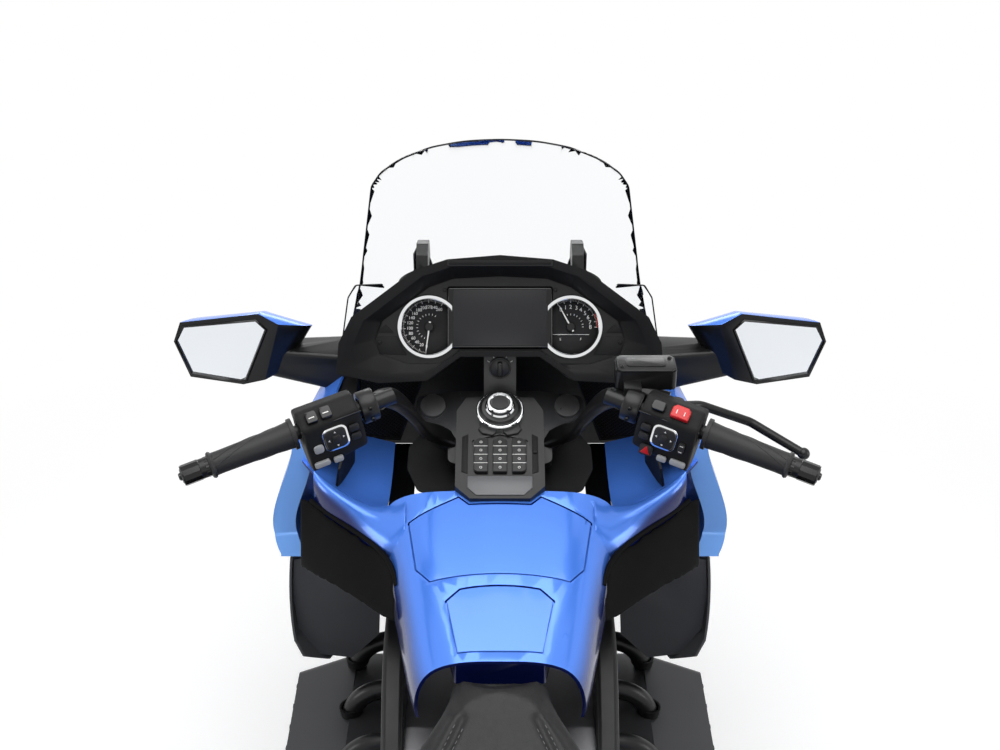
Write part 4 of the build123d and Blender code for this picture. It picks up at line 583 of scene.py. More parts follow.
def lettering(text, size):
    """Raised mark or number, centred on its place."""
    curve = bpy.data.curves.new("mark", "FONT")
    curve.body, curve.size, curve.extrude = text, size, MARK_DEPTH
    curve.align_x, curve.align_y = "CENTER", "CENTER"
    curve.resolution_u = 3
    return from_curve(curve)


def tube(points, radius, closed=False, sides=3, smooth=True):
    """Round bar along points in millimetres, given in machine coordinates or in a drawing."""
    curve = bpy.data.curves.new("bar", "CURVE")
    curve.dimensions = "3D"
    line = curve.splines.new("NURBS" if smooth else "POLY")
    line.points.add(len(points) - 1)
    for spot, point in zip(line.points, points):
        spot.co = (*point, 1)
    line.use_cyclic_u = closed
    line.order_u = 3
    line.use_endpoint_u = not closed
    line.resolution_u = 6
    curve.bevel_depth = radius
    curve.bevel_resolution = sides
    curve.use_fill_caps = not closed
    return from_curve(curve)


def finished(group, name, material, node, smooth=35):
    """Piece from a group that goes with a CAD node: same body, its own material."""
    return piece(group, name, material, BODY_OF[node], smooth)


def finish_all(node, *rows):
    """Pieces from rows of (group, name, material) that all go with one CAD node."""
    for group, name, material in rows:
        finished(group, name, material, node)
    print(node, "dressed with", len(rows), "pieces")


print("a 4 mm screw head has", len(screw(4).faces), "faces")

# %% [markdown]
# The instruments sit on one plane that faces the rider. Each dial is a real recess with a printed disc on its
# floor, so numbers, ticks and needle are thin raised pieces. The bright bezel is a turned ring with one side
# sliced off where the display overlaps it.

# %% Dials
DASH = laid_on((0, 547, 1104), (1, 0, 0), (0, 0.469, 0.883))
DIAL_X, DIAL_Y, DIAL_FLOOR = 118, -14, -15.9
NUMBER_RADIUS, TICK_RADIUS, SHORT_TICK_RADIUS, INNER_TICK_RADIUS = 33, 42.5, 43.6, 20.5
NEEDLE_REACH = 41

bezels, faces, marks, hubs, red_arc = (bmesh.new() for _ in range(5))
for side, open_side in ((-1, 1), (1, -1)):
    bezel = ring(45.5, 53.4, -6, 4.2, 96, 1.6)
    bmesh.ops.bisect_plane(bezel, geom=bezel.verts[:] + bezel.edges[:] + bezel.faces[:], dist=1e-4,
                           plane_co=(open_side * 38.5, 0, 0), plane_no=(open_side, 0, 0), clear_outer=True)
    bmesh.ops.holes_fill(bezel, edges=[e for e in bezel.edges if e.is_boundary])
    put(bezels, bezel, DASH @ moved(side * DIAL_X, DIAL_Y))
    put(faces, turned([(0, 0), (47, 0), (47, 0.5), (46.4, 0.9), (21, 0.9), (20, 0.5), (0, 0.5)], 72),
        DASH @ moved(side * DIAL_X, DIAL_Y, DIAL_FLOOR))
SPEED = [(str(20 * i), 262 - 15.5 * i) for i in range(14)]
REVS = [(str(i), a) for i, a in enumerate((120, 105, 90, 73, 59, 43, 28, 12, -1))]
for side, numbers, needle_at in ((-1, SPEED, 262), (1, REVS, 119)):
    centre = DASH @ moved(side * DIAL_X, DIAL_Y, DIAL_FLOOR + 1.0)
    for index, (text, angle) in enumerate(numbers):
        put(marks, lettering(text, 7.2 if side < 0 else 9.5), centre @ moved(*around(NUMBER_RADIUS, angle)))
        put(marks, block(5.0, 1.0, 0.4, 0.1, 1), centre @ moved(*around(TICK_RADIUS, angle), turn=angle))
        if index + 1 < len(numbers):
            step = (numbers[index + 1][1] - angle) / 5
            for part in range(1, 5):
                short = angle + step * part
                place = centre @ moved(*around(SHORT_TICK_RADIUS, short), turn=short)
                put(marks, block(2.4, 0.5, 0.35, 0.05, 1), place)
        place = centre @ moved(*around(INNER_TICK_RADIUS, angle), turn=angle)
        put(marks, block(3.0, 0.7, 0.35, 0.05, 1), place)
    put(hubs, turned([(0, 0), (7.6, 0), (7.6, 4), (6.6, 5.4), (0, 5.8)], 40), centre)
    pointer = [(-9, -1.6), (NEEDLE_REACH - 3, -0.7), (NEEDLE_REACH, 0), (NEEDLE_REACH - 3, 0.7), (-9, 1.6)]
    put(marks, plate(pointer, 0.9, 0.2, 1), centre @ moved(z=4.4, turn=needle_at))
tach = DASH @ moved(DIAL_X, DIAL_Y, DIAL_FLOOR + 1.0)
for angle in range(-1, 29, 3):
    put(red_arc, block(1.9, 2.2, 0.5, 0.1, 1), tach @ moved(*around(45, angle + 1), turn=angle + 1))
put(marks, block(62, 0.7, 0.35, 0.05, 1), tach @ moved(0, -13))
put(marks, lettering("F", 5.5), tach @ moved(17, -21))
put(marks, lettering("E", 5.5), tach @ moved(-17, -21))
finish_all("instrument_panel", (bezels, "dial_bezels", CHROME), (faces, "dial_discs", DIAL_FACE),
           (hubs, "needle_hubs", SATIN), (red_arc, "rev_warning_arc", RED))
print("dials: 2, with", len(SPEED) + len(REVS), "numbers")

# %% [markdown]
# Between the dials a flat display stands in a soft rounded frame. The panels beside the dials are covers of
# small compartments, each in a thin groove.

# %% Display and covers
frames, glass, covers, screws = (bmesh.new() for _ in range(4))
put(frames, block(176, 104, 9, 5, 4), DASH @ moved(0, 1, -6))
put(glass, block(155, 93, 1.4, 0.5, 2), DASH @ moved(0, 1, 2.4))
COVER = [(171, -30), (214, -30), (220, -50), (209, -59), (155, -61)]
UPPER_COVER = [(176, -24), (190, -10), (210, -24)]
for outline in (COVER, UPPER_COVER):
    put(covers, plate(outline, 2.0, 0.8), DASH @ moved(z=-4), DASH @ FLIP @ moved(z=-4))
HOOD_TOP = laid_on((0, 552, 1203), (1, 0, 0), (0, 0.29, 0.96))
put(frames, plate(rounded(174, 10, 2.5), 1.4, 0.5), HOOD_TOP)
put(covers, plate(rounded(166, 5, 1.5), 2.2, 0.5), HOOD_TOP)
for x, y in ((200, -40), (92, 47)):
    put(screws, screw(3.0), DASH @ moved(x, y, -2.2), DASH @ FLIP @ moved(x, y, -2.2))
finish_all("instrument_panel", (frames, "display_frame", GLOSS), (glass, "display_glass_pane", DISPLAY),
           (covers, "dash_covers", GRAINED), (marks, "dial_marks", MARK), (screws, "dash_screws", SATIN))

# %% [markdown]
# The console carries a knob with a bright ring, three columns of buttons and a blank plate. The key switch
# stands above it on the neck. Buttons are rounded plates with printed lines between them.

# %% Console
CONSOLE = laid_on((0, 306, 903), (1, 0, 0), (0, math.cos(math.radians(20)), math.sin(math.radians(20))))
KNOB_Y = 172
rims, caps, buttons, lines, plates, dark = (bmesh.new() for _ in range(6))
knob = CONSOLE @ moved(0, KNOB_Y)
put(rims, ring(34.5, 39.4, 5, 19.4, 96, 1.6), knob)
put(rims, turned([(0, 20), (25, 20), (24.4, 27), (22, 29), (0, 29)], 72), knob)
put(rims, ring(15.5, 21.6, 30, 37.2, 72, 1.4), knob)
put(caps, turned([(0, 25), (20.6, 25), (20.6, 35), (15, 36.2), (13.8, 37.8), (0, 38.2)], 72), knob)
put(caps, turned([(29, 18), (35, 18), (35, 20.2), (29, 21.4), (24, 21.6), (24, 18), (29, 18)], 72), knob)
for angle in range(0, 360, 15):
    put(lines, block(0.7, 2.6, 0.3, 0.05, 1), knob @ moved(*around(29.5, angle), z=21.3, turn=angle - 90))
OUTER_COLUMN = [(-11.5, -30), (-6, -34), (11.5, -34), (11.5, 34), (-3, 34), (-11.5, 25)]
MIDDLE_COLUMN = [(-11.5, -34), (11.5, -34), (11.5, 29), (0, 38), (-11.5, 29)]
for x, outline, side in ((-31, OUTER_COLUMN, Matrix()), (0, MIDDLE_COLUMN, Matrix()), (31, OUTER_COLUMN, FLIP)):
    column = CONSOLE @ moved(x, 84, 6) @ side
    put(buttons, plate(outline, 6.4, 1.3, 3), column)
    put(lines, block(22.2, 0.9, 0.3, 0.05, 1), *[column @ moved(0, y, 6.3) for y in (-17, 0, 17)])
    for y in (-26, -8.5, 8.5, 25):
        put(lines, ring(1.6, 2.3, 6.2, 6.55, 12, 0.1), column @ moved(0, y))
HEX_KEY = [(5, 131), (12, 124), (29, 128), (36, 137), (31, 147), (12, 146)]
put(buttons, plate(HEX_KEY, 6.6, 1.4, 3), CONSOLE @ moved(z=5), CONSOLE @ FLIP @ moved(z=5))
PLATE_EDGE = [(-38, 6), (38, 6), (52, 20), (52, 43), (-52, 43), (-52, 20)]
put(plates, plate(PLATE_EDGE, 3.0, 0.8), CONSOLE @ moved(z=6.6))
put(dark, plate([(52, 48), (62, 52), (62, 122), (52, 128)], 2.4, 0.7), CONSOLE @ moved(z=7),
    CONSOLE @ FLIP @ moved(z=7))
put(dark, block(7, 9, 3, 0.8), CONSOLE @ moved(57, 92, 9))
LATCH = [(-30, -9), (30, -9), (20, 6), (-20, 6)]
put(dark, plate(LATCH, 5, 1.6, 3), laid_on((0, 296, 893), (1, 0, 0), (0, 0.9397, 0.342)))
KEY = laid_on((0, 517, 1027), (1, 0, 0), (0, 0.223, 0.975))
put(caps, ring(15.5, 18.5, -2, 4.2, 64, 0.8), KEY)
put(caps, turned([(0, -2), (16, -2), (16, 3.2), (13, 4.4), (0, 4.4)], 64), KEY)
put(caps, block(24, 8, 15, 3, 3), KEY @ moved(turn=90))
for angle in range(30, 151, 30):
    put(lines, block(1.0, 4.2, 0.4, 0.1, 1), KEY @ moved(*around(22, angle), z=1.2, turn=angle - 90))
finish_all("console", (rims, "console_bright_rings", CHROME), (caps, "console_caps", SATIN),
           (buttons, "console_buttons", BUTTON), (lines, "console_marks", MARK),
           (plates, "console_blank_plate", GREY_PLATE), (dark, "console_strips", GRAINED))

# %% [markdown]
# Behind each instrument side a loudspeaker sits under pierced metal. A grid is trimmed to the panel's edge,
# each cell is inset, and the middle of every cell is taken out. A wall thickness is given last.

# %% Speaker mesh
MESH_CELL, MESH_BAR = 5.2, 1.25
SHEET_MIDDLE = (95, 916, 0)
SPEAKER_EDGE = [(5, 958), (5, 976), (137, 995), (164, 973), (177, 938), (186, 897), (172, 872), (55, 839)]
SPEAKER = laid_on((130, 618, 0), (0.941, -0.339, 0), (0, 0, 1))
grille, bead = bmesh.new(), bmesh.new()
sheet = bmesh.new()
bmesh.ops.create_grid(sheet, x_segments=38, y_segments=34, size=1)
bmesh.ops.scale(sheet, vec=(19 * MESH_CELL, 17 * MESH_CELL, 1), verts=sheet.verts)
bmesh.ops.translate(sheet, vec=SHEET_MIDDLE, verts=sheet.verts)
bmesh.ops.rotate(sheet, cent=SHEET_MIDDLE, matrix=Matrix.Rotation(math.radians(45), 3, "Z"), verts=sheet.verts)
middle = Vector((100, 920, 0))
for (x0, y0), (x1, y1) in zip(SPEAKER_EDGE, SPEAKER_EDGE[1:] + SPEAKER_EDGE[:1]):
    normal = Vector((y1 - y0, x0 - x1, 0))
    if normal.dot(middle - Vector((x0, y0, 0))) > 0:
        normal.negate()
    bmesh.ops.bisect_plane(sheet, geom=sheet.verts[:] + sheet.edges[:] + sheet.faces[:], dist=1e-4,
                           plane_co=(x0, y0, 0), plane_no=normal, clear_outer=True)
bmesh.ops.inset_individual(sheet, faces=sheet.faces[:], thickness=MESH_BAR / 2, use_even_offset=True)
cells = [f for f in sheet.faces if all(len(e.link_faces) == 2 for e in f.edges) and f.calc_area() > 6
         and len(f.verts) >= 4 and max(e.calc_length() for e in f.edges) < MESH_CELL * 0.9]
bmesh.ops.delete(sheet, geom=cells, context="FACES")
bmesh.ops.solidify(sheet, geom=sheet.faces[:], thickness=1.0)
print("speaker mesh:", len(cells), "holes a side")
put(grille, sheet, SPEAKER @ moved(z=4.6), FLIP @ SPEAKER @ moved(z=4.6))
rim = [(x, y, 5) for x, y in SPEAKER_EDGE]
put(bead, tube(rim, 2.6, closed=True, smooth=False), SPEAKER, FLIP @ SPEAKER)
finish_all("inner_panels", (grille, "speaker_mesh", SATIN), (bead, "speaker_beads", GRAINED))

# %% [markdown]
# Each handlebar arm has its own frame: x points back to the rider, y up and z along the bar from its outer end.
# The switch housing's rider face and its sloping top facet are planes in that frame, so switches are laid on
# them as on the dash. The left bar is the mirror image, with its own switches.

# %% Handlebar switches
BAR = laid_on((462, 165, 1046), (-0.382, -0.924, 0), (0.172, -0.071, 0.982))
ALONG = Matrix.Rotation(math.radians(90), 4, "Y")
PAD_S = 226
FACE_X, FACE_TILT = 33.2, 3
TOP_TILT = 60.5


def on_bar(s, x, y, tilt=0):
    """Plane on the bar at s from its end: x towards the bar end, z out of a facet turned by tilt."""
    return BAR @ Matrix.Translation((x, y, s)) @ Matrix.Rotation(math.radians(tilt), 4, "Z") @ ALONG


rims, pads, pale, red, marks, gloss = (bmesh.new() for _ in range(6))
right = on_bar(PAD_S, FACE_X, -10, FACE_TILT)
left = FLIP @ right
for face in (right, left):
    put(rims, plate(rounded(39, 39, 10), 3.2, 1.0), face)
    put(pads, plate(rounded(33, 33, 8), 5.0, 1.6, 3), face)
    put(pads, plate(rounded(12, 12, 3), 7.0, 1.2), face)
    for x, y, turn in ((0, 11.5, 0), (0, -11.5, 180), (11.5, 0, -90), (-11.5, 0, 90)):
        put(marks, plate([(-1.8, -1.2), (1.8, -1.2), (0, 1.6)], 0.4, 0), face @ moved(x, y, 4.9, turn))
    put(pale, plate(rounded(24, 9, 3), 6.0, 1.2), face @ moved(30, -34, -1.5))
    put(pale, plate(rounded(15, 9, 3), 5.5, 1.2), face @ moved(5, -36, -1.5))
    put(pads, plate(rounded(15, 11, 3), 4.0, 1.2), face @ moved(-30, 6), face @ moved(-30, -9))
    put(gloss, tube([(-47, 27, 0), (47, 27, 0)], 1.0, smooth=False), face)
put(pale, plate(rounded(15, 13, 4), 4.5, 1.2), left @ moved(29, -8))
for s in (201, 223):
    rocker = FLIP @ on_bar(s, 21, 28, TOP_TILT)
    put(gloss, plate(rounded(17, 19, 3), 6.5, 1.4), rocker)
    put(marks, block(9, 1.6, 0.4, 0.1, 1), rocker @ moved(0, -2, 6.4))
stop = on_bar(214, 21, 28, TOP_TILT)
put(red, plate([(-14, -9), (14, -9), (14, 7), (9, 12), (-9, 12), (-14, 7)], 8, 1.8, 3), stop)
put(marks, block(1.2, 7, 0.4, 0.1, 1), stop @ moved(-6, 0, 7.9), stop @ moved(6, 0, 7.9))
put(gloss, plate(rounded(20, 16, 4), 6, 1.4), on_bar(248, 20, 28, TOP_TILT))
put(red, plate([(-7.5, -5.5), (7.5, -5.5), (0, 7.5)], 1.0, 0.3), right @ moved(-21, -31, 3.2))
put(pads, plate(rounded(20, 18, 4), 3.6, 1.0), right @ moved(-21, -31))
put(pads, plate(rounded(9, 17, 3), 6.5, 1.2), right @ moved(29, -6))
put(marks, block(5, 1.1, 0.4, 0.1, 1), right @ moved(29, -1, 6.4), right @ moved(29, -11, 6.4))
finish_all("switch_housings", (rims, "switch_rims", CHROME), (pads, "switch_pads", BUTTON),
           (pale, "switch_buttons", PALE_BUTTON), (red, "red_switches", RED), (marks, "switch_marks", MARK),
           (gloss, "switch_rockers", GLOSS))

# %% [markdown]
# A rubber grip is a slim barrel, thicker towards the switches, with a few long raised seams. The seams follow
# slow spirals, so each one is a bar along points that turn a little with every step. The weights at the bar
# ends are twelve-sided turned parts.

# %% Grips, bar ends and reservoir
GRIP_FROM, GRIP_TO = 50, 164
SEAMS, SEAM_STEPS = ((20, 130), (55, 130), (200, 110), (235, 110)), 8
BARREL = [(16, 46), (17.4, 47), (17.2, 60), (17.8, 100), (18.8, 140), (20.4, 162), (21, 168), (16, 168),
          (16, 46)]
WEIGHT = [(0, -1.5), (10, -1.5), (15.8, 2), (15.8, 27), (13.4, 30), (13.4, 34), (15.4, 36), (15.4, 41.5),
          (0, 41.5)]
COLLAR = [(17, 277), (24, 277), (25, 279), (25, 300), (24, 302), (17, 302), (17, 277)]
LID = [(-45, -17), (-38, -24), (38, -24), (45, -17), (45, 17), (38, 24), (-38, 24), (-45, 17)]
ribs, ends, lid, collars = (bmesh.new() for _ in range(4))
for side in (Matrix(), FLIP):
    place = side @ BAR
    put(ribs, turned(BARREL, 56), place)
    for start, twist in SEAMS:
        points = []
        for step in range(SEAM_STEPS + 1):
            share = step / SEAM_STEPS
            x, y = around(17.3 + 2.4 * share ** 2, start + twist * share)
            points.append((x, y, GRIP_FROM + (GRIP_TO - GRIP_FROM) * share))
        put(ribs, tube(points, 0.9, sides=2), place)
    for s in (45, 168):
        lip = [(16, s - 4), (19, s - 3), (20.5, s), (19, s + 3), (16, s + 4), (16, s - 4)]
        put(ribs, turned(lip, 40), place)
    put(ends, turned(WEIGHT, 12), place)
    put(ends, screw(6), place @ Matrix.Rotation(math.pi, 4, "X") @ moved(z=0.8))
    put(collars, turned(COLLAR, 40), place)
    for y in (-9.6, 9.6):
        put(collars, screw(3.4), place @ Matrix.Translation((24.4, y, 289)) @ ALONG)
top = laid_on((221, 324, 1141.5), (1, 0, 0), (0, 1, 0))
put(lid, plate(LID, 4.5, 1.8, 3), top)
put(lid, plate(rounded(60, 26, 6), 1.4, 0.6), top @ moved(z=4.4))
put(collars, screw(3.2), top @ moved(-37, -14, 4.2), top @ moved(37, 14, 4.2))
finished(ribs, "grip_ribs", RUBBER, "grips")
finished(ends, "bar_end_weights", GLOSS, "grips", 25)
finished(collars, "bar_collars", SATIN, "handlebar")
finished(lid, "reservoir_lid", SATIN, "master_cylinder")
print("grip seams a side:", len(SEAMS))

# %% [markdown]
# A clear screen shows itself mostly by its edge, where light travels along the sheet and comes out dark. A thin
# bead follows the rim, as the polished lip of a real screen does, and the bead and the faces whose middle lies
# beside it take a near-black finish: painted shade that stands for that dark edge. The edge comes out ragged in
# places.

# %% Screen edges
BEAD_RADIUS = 1.3
RIM_REACH = 0.0022
SCREEN_RIM = [(-262, 1008), (-249, 1075), (-237, 1142), (-225, 1213), (-216, 1268), (-208, 1318), (-190, 1345),
              (-154, 1367), (-110, 1384), (-56, 1393), (0, 1395)]
SCREEN_RIM += [(-x, z) for x, z in SCREEN_RIM[-2::-1]]
DEFLECTOR_RIM = [(200, 1118), (225, 1117), (246, 1116), (255, 1104), (262, 1092), (269, 1052), (276, 1010),
                 (278, 988)]
RIM_LINES = {"windscreen": [SCREEN_RIM],
             "wind_deflectors": [DEFLECTOR_RIM, [(-x, z) for x, z in DEFLECTOR_RIM]]}
RIM_STEPS = 5
HALF_SHEET = 2
INSIDE, OUTSIDE = 0.985, 1.012
FAR_AHEAD = 1200
DEFLECTOR_Y = 646


def rim_points(surface, rim):
    """Points on a sheet's rim in millimetres, each the nearest to a spot just outside the outline."""
    points = []
    for (x0, z0), (x1, z1) in zip(rim, rim[1:]):
        for step in range(RIM_STEPS):
            x, z = (a + (b - a) * step / RIM_STEPS for a, b in ((x0, x1), (z0, z1)))
            hit = surface.ray_cast(Vector((INSIDE * x, FAR_AHEAD, z - 6)) * MM, Vector((0, -1, 0)))[0]
            y = hit.y / MM - HALF_SHEET if hit else (points[-1][1] if points else DEFLECTOR_Y)
            spot = surface.find_nearest(Vector((OUTSIDE * x, y, z + 1)) * MM)[0]
            points.append(tuple(spot / MM))
    return points


for node in ("windscreen", "wind_deflectors"):
    sheet, bead = welded(node), bmesh.new()
    surface = BVHTree.FromBMesh(sheet)
    for rim in RIM_LINES[node]:
        put(bead, tube(rim_points(surface, rim), BEAD_RADIUS), UPRIGHT)
    lip = BVHTree.FromBMesh(bead)
    count = 0
    # Painted shade: faces beside the rim take the near-black edge finish.
    for face in sheet.faces:
        if lip.find_nearest(face.calc_center_median(), RIM_REACH)[0] is not None:
            face.material_index = 1
            count += 1
    finished(bead, node + "_edge_bead", SCREEN_EDGE_SHADE, node)
    screen = finished(sheet, node + "_sheet", CLEAR, node)
    screen.data.materials.append(SCREEN_EDGE_SHADE)
    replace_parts(screen, node)
    print(node, "has", count, "edge faces of", len(screen.data.polygons))

# %% [markdown]
# Some mouldings carry two materials. The mirror housings are black with a painted cap on top, and the side
# fairings carry a painted highlight: a lighter copy of their paint on the edge band that faces the rider. A
# second material goes on the faces that look the right way in the right place. The screen posts and the
# mirrors then get their separate rims.

# %% Second paints, a painted highlight, post covers and mirror rims
def repaint(node, paint, chosen):
    """Second paint on the chosen faces of a moulding."""
    mesh = mouldings[node].data
    mesh.materials.append(paint)
    count = 0
    for face in mesh.polygons:
        if chosen(face):
            face.material_index = 1
            count += 1
    print(node, "has", count, "repainted faces")


repaint("mirrors", PAINT, lambda face: face.normal.z > 0.72 and face.center.z > 1.06)
# Painted highlight: the rider-facing band of the side fairings takes the lighter copy of the paint.
repaint("side_fairings", HIGHLIGHT_PAINT, lambda face: face.normal.y < -0.55 and face.center.y < 0.43)
POST = [(-16.5, -62), (16.5, -62), (16.5, -40), (4, -4), (-6, 0), (-16.5, -22)]
posts = bmesh.new()
post = laid_on((-134, 701, 1174), (1, 0, 0), (0, 0, 1))
put(posts, plate(POST, 10, 3.0, 3), post, FLIP @ post)
finished(posts, "screen_post_covers", GLOSS, "screen_posts")
MIRROR_EDGE = [(542, 1064), (527, 1092), (405, 1104), (389, 1086), (430, 990), (440, 985), (522, 1001)]
rim = bmesh.new()
put(rim, tube([(x, 541.5, z) for x, z in MIRROR_EDGE], 3.2, closed=True, smooth=False), UPRIGHT, FLIP @ UPRIGHT)
finished(rim, "mirror_bezels", GLOSS, "mirrors")

# %% [markdown]
# The knee pads are soft covers with a raised bead along the inner edge. The bead is a round bar along the
# pad's own corners, and stitching would be wrong here, because the real pad is moulded in one.

# %% Knee pad beads
PAD_TOP = [(308, 374, 862), (263, 332, 862), (226, 295, 853), (194, 260, 846), (166, 220, 838), (157, 190, 827)]
pad_shape = bmesh.new()
pad_shape.from_mesh(NODES["knee_pads"].data)
pad_surface = BVHTree.FromBMesh(pad_shape)
pad_shape.free()
seated = [pad_surface.find_nearest(Vector(point) * MM)[0] / MM for point in PAD_TOP]
bead = bmesh.new()
put(bead, tube(seated, 4.2, sides=4), UPRIGHT, FLIP @ UPRIGHT)
finished(bead, "knee_pad_beads", SOFT_BLACK, "knee_pads")
print("knee pad beads follow", len(seated), "points")

# %% [markdown]
# Beside the steering head the real machine is closed below with a black floor, which also keeps the rain off
# the radiators. It is a thin plate on top of each radiator. Its inner part is too wide: the fork cuts into it
# at full lock.

# %% Fairing floor and radiator fins
floors, fins = bmesh.new(), bmesh.new()
LEVEL = laid_on((0, 0, 748), (1, 0, 0), (0, 1, 0))
put(floors, plate([(153, 526), (212, 526), (214, 712), (160, 712), (153, 600)], 4, 1.2), LEVEL, FLIP @ LEVEL)
CORE_FRONT = laid_on((229, 640, 0), (-1, 0, 0), (0, 0, 1))
FIN_PITCH, FIN_HEIGHTS, WIDE_FINS = 7, (524, 728), (552, 706)
for height in range(*FIN_HEIGHTS, FIN_PITCH):
    fin = block(88 if WIDE_FINS[0] < height < WIDE_FINS[1] else 68, 1.6, 3.2, 0.4, 1)
    put(fins, fin, CORE_FRONT @ moved(0, height), FLIP @ CORE_FRONT @ moved(0, height))
for x in (-46, -23, 0, 23, 46):
    put(fins, block(2.4, 150, 4.2, 0.6, 1), CORE_FRONT @ moved(x, 630), FLIP @ CORE_FRONT @ moved(x, 630))
finished(floors, "fairing_floor", GRAINED, "inner_panels")
finished(fins, "radiator_fins", DARK_ALLOY, "radiators")

# %% [markdown]
# A seat is foam under a tight skin. The plain solid is drawn in a little, its surface is remade in even
# five-millimetre cells, and a cloth simulation blows it up from inside for twenty frames while its base stays
# pinned. No point may move more than a few millimetres. The sewn channels are pressed in afterwards, because
# remaking the surface would have rubbed them out, and then the thread is laid along them.

# %% Seats
SEAT_CELL, SEAT_SHRINK, SEAT_SWELL = 0.005, 0.004, 0.009
PINNED, STILL, LAST_FRAME, PRESSURE = 0.012, 0.02, 20, 4
CHANNEL_DEPTH, CHANNEL_WIDTH = 0.0055, 0.005
RUNS = {
    "rider_seat": [[(-118, -296), (-112, -190), (-52, -70)], [(118, -296), (112, -190), (52, -70)],
                   [(-118, -296), (118, -296)], [(-88, -128), (88, -128)]],
    "passenger_seat": [[(-112, -400), (-118, -640), (-96, -716)], [(112, -400), (118, -640), (96, -716)],
                       [(-112, -400), (112, -400)], [(-118, -560), (118, -560)], [(-96, -716), (96, -716)]],
}


def off_line(point, a, b):
    """Distance of a flat point from a straight run."""
    run = b - a
    share = max(0.0, min(1.0, (point - a).dot(run) / run.length_squared))
    return (point - a - run * share).length


def blow_up(mesh, low):
    """Swells a mesh by cloth simulation, with its base pinned and its swelling capped."""
    scene = bpy.context.scene
    item = bpy.data.objects.new("foam", mesh)
    scene.collection.objects.link(item)
    pins = item.vertex_groups.new(name="base")
    pins.add([v.index for v in mesh.vertices if v.co.z < low + PINNED], 1.0, "REPLACE")
    cloth = item.modifiers.new("skin", "CLOTH")
    cloth.settings.use_pressure = True
    cloth.settings.uniform_pressure_force = PRESSURE
    cloth.settings.effector_weights.gravity = 0
    cloth.settings.vertex_group_mass = "base"
    cloth.point_cache.frame_start, cloth.point_cache.frame_end = 1, LAST_FRAME
    for step in range(1, LAST_FRAME + 1):
        scene.frame_set(step)
    swollen = item.evaluated_get(bpy.context.evaluated_depsgraph_get()).to_mesh()
    moves = [new.co - old.co for new, old in zip(swollen.vertices, mesh.vertices)]
    item.to_mesh_clear()
    for vertex, move in zip(mesh.vertices, moves):
        vertex.co += move * min(1.0, SEAT_SWELL / max(move.length, 1e-9))
    bpy.data.objects.remove(item)
    scene.frame_set(1)


def cushion(node):
    """Sewn seat that stands for a plain CAD block, and the surface its thread lies on."""
    shape = node_copy(node)
    for vertex in shape.verts:
        vertex.co -= vertex.normal * SEAT_SHRINK
    rough = bpy.data.meshes.new("rough")
    shape.to_mesh(rough)
    shape.free()
    mesh = even_cells(rough, SEAT_CELL)
    low = min(v.co.z for v in mesh.vertices)
    blow_up(mesh, low)
    shape = bmesh.new()
    shape.from_mesh(mesh)
    relax(shape, [v for v in shape.verts if v.co.z > low + STILL])
    runs = [[Vector(p) * MM for p in line] for line in RUNS[node]]
    for vertex in shape.verts:
        if vertex.normal.z > 0.3:
            flat = Vector((vertex.co.x, vertex.co.y))
            near = min(off_line(flat, a, b) for line in runs for a, b in zip(line, line[1:]))
            vertex.co.z -= CHANNEL_DEPTH * math.exp(-(near / CHANNEL_WIDTH) ** 2)
    surface = BVHTree.FromBMesh(shape)
    seat = finished(shape, node + "_cushion", LEATHER, node, 60)
    fine = seat.modifiers.new("soft", "SUBSURF")
    fine.levels = fine.render_levels = 1
    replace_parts(seat, node)
    return surface, runs


STITCH, STITCH_STEP, STITCH_SIDE = (0.9, 5.0, 1.0), 0.0085, 0.0062
for node in RUNS:
    surface, runs = cushion(node)
    thread = bmesh.new()
    for line in runs:
        for a, b in zip(line, line[1:]):
            way = (b - a).normalized()
            aside = Vector((-way.y, way.x))
            for index in range(1, int((b - a).length / STITCH_STEP)):
                for offset in (-STITCH_SIDE, STITCH_SIDE):
                    spot = a + way * STITCH_STEP * index + aside * offset
                    hit = surface.ray_cast(Vector((spot.x, spot.y, 2)), Vector((0, 0, -1)))
                    if hit[0] is not None:
                        up = hit[1]
                        across = Vector((way.x, way.y, 0)).cross(up).cross(up).normalized()
                        stitch = bmesh.new()
                        bmesh.ops.create_cube(stitch, size=1)
                        bmesh.ops.scale(stitch, vec=STITCH, verts=stitch.verts)
                        put(thread, stitch, laid_on(hit[0] / MM, up.cross(across), across))
    print(node, "has", len(thread.faces) // 6, "stitches")
    finished(thread, node + "_thread", THREAD, node)

# %% [markdown]
# A tyre is a round crown on two curved sidewalls. It is spun in one go, then the tread cells of a slanted
# pattern are inset and pushed in, so the grooves are real. Each row is turned a little more than the last
# before that, which slants the grooves.

# %% Tyres
TYRE_STEPS, TREAD_DEPTH, GROOVE_EDGE = 90, 4.0, 1.6
CROWN_STEPS, CROWN_LEAN = 16, 76
TREAD_ROWS, PATTERN = 8, 9
SLANT = 0.05


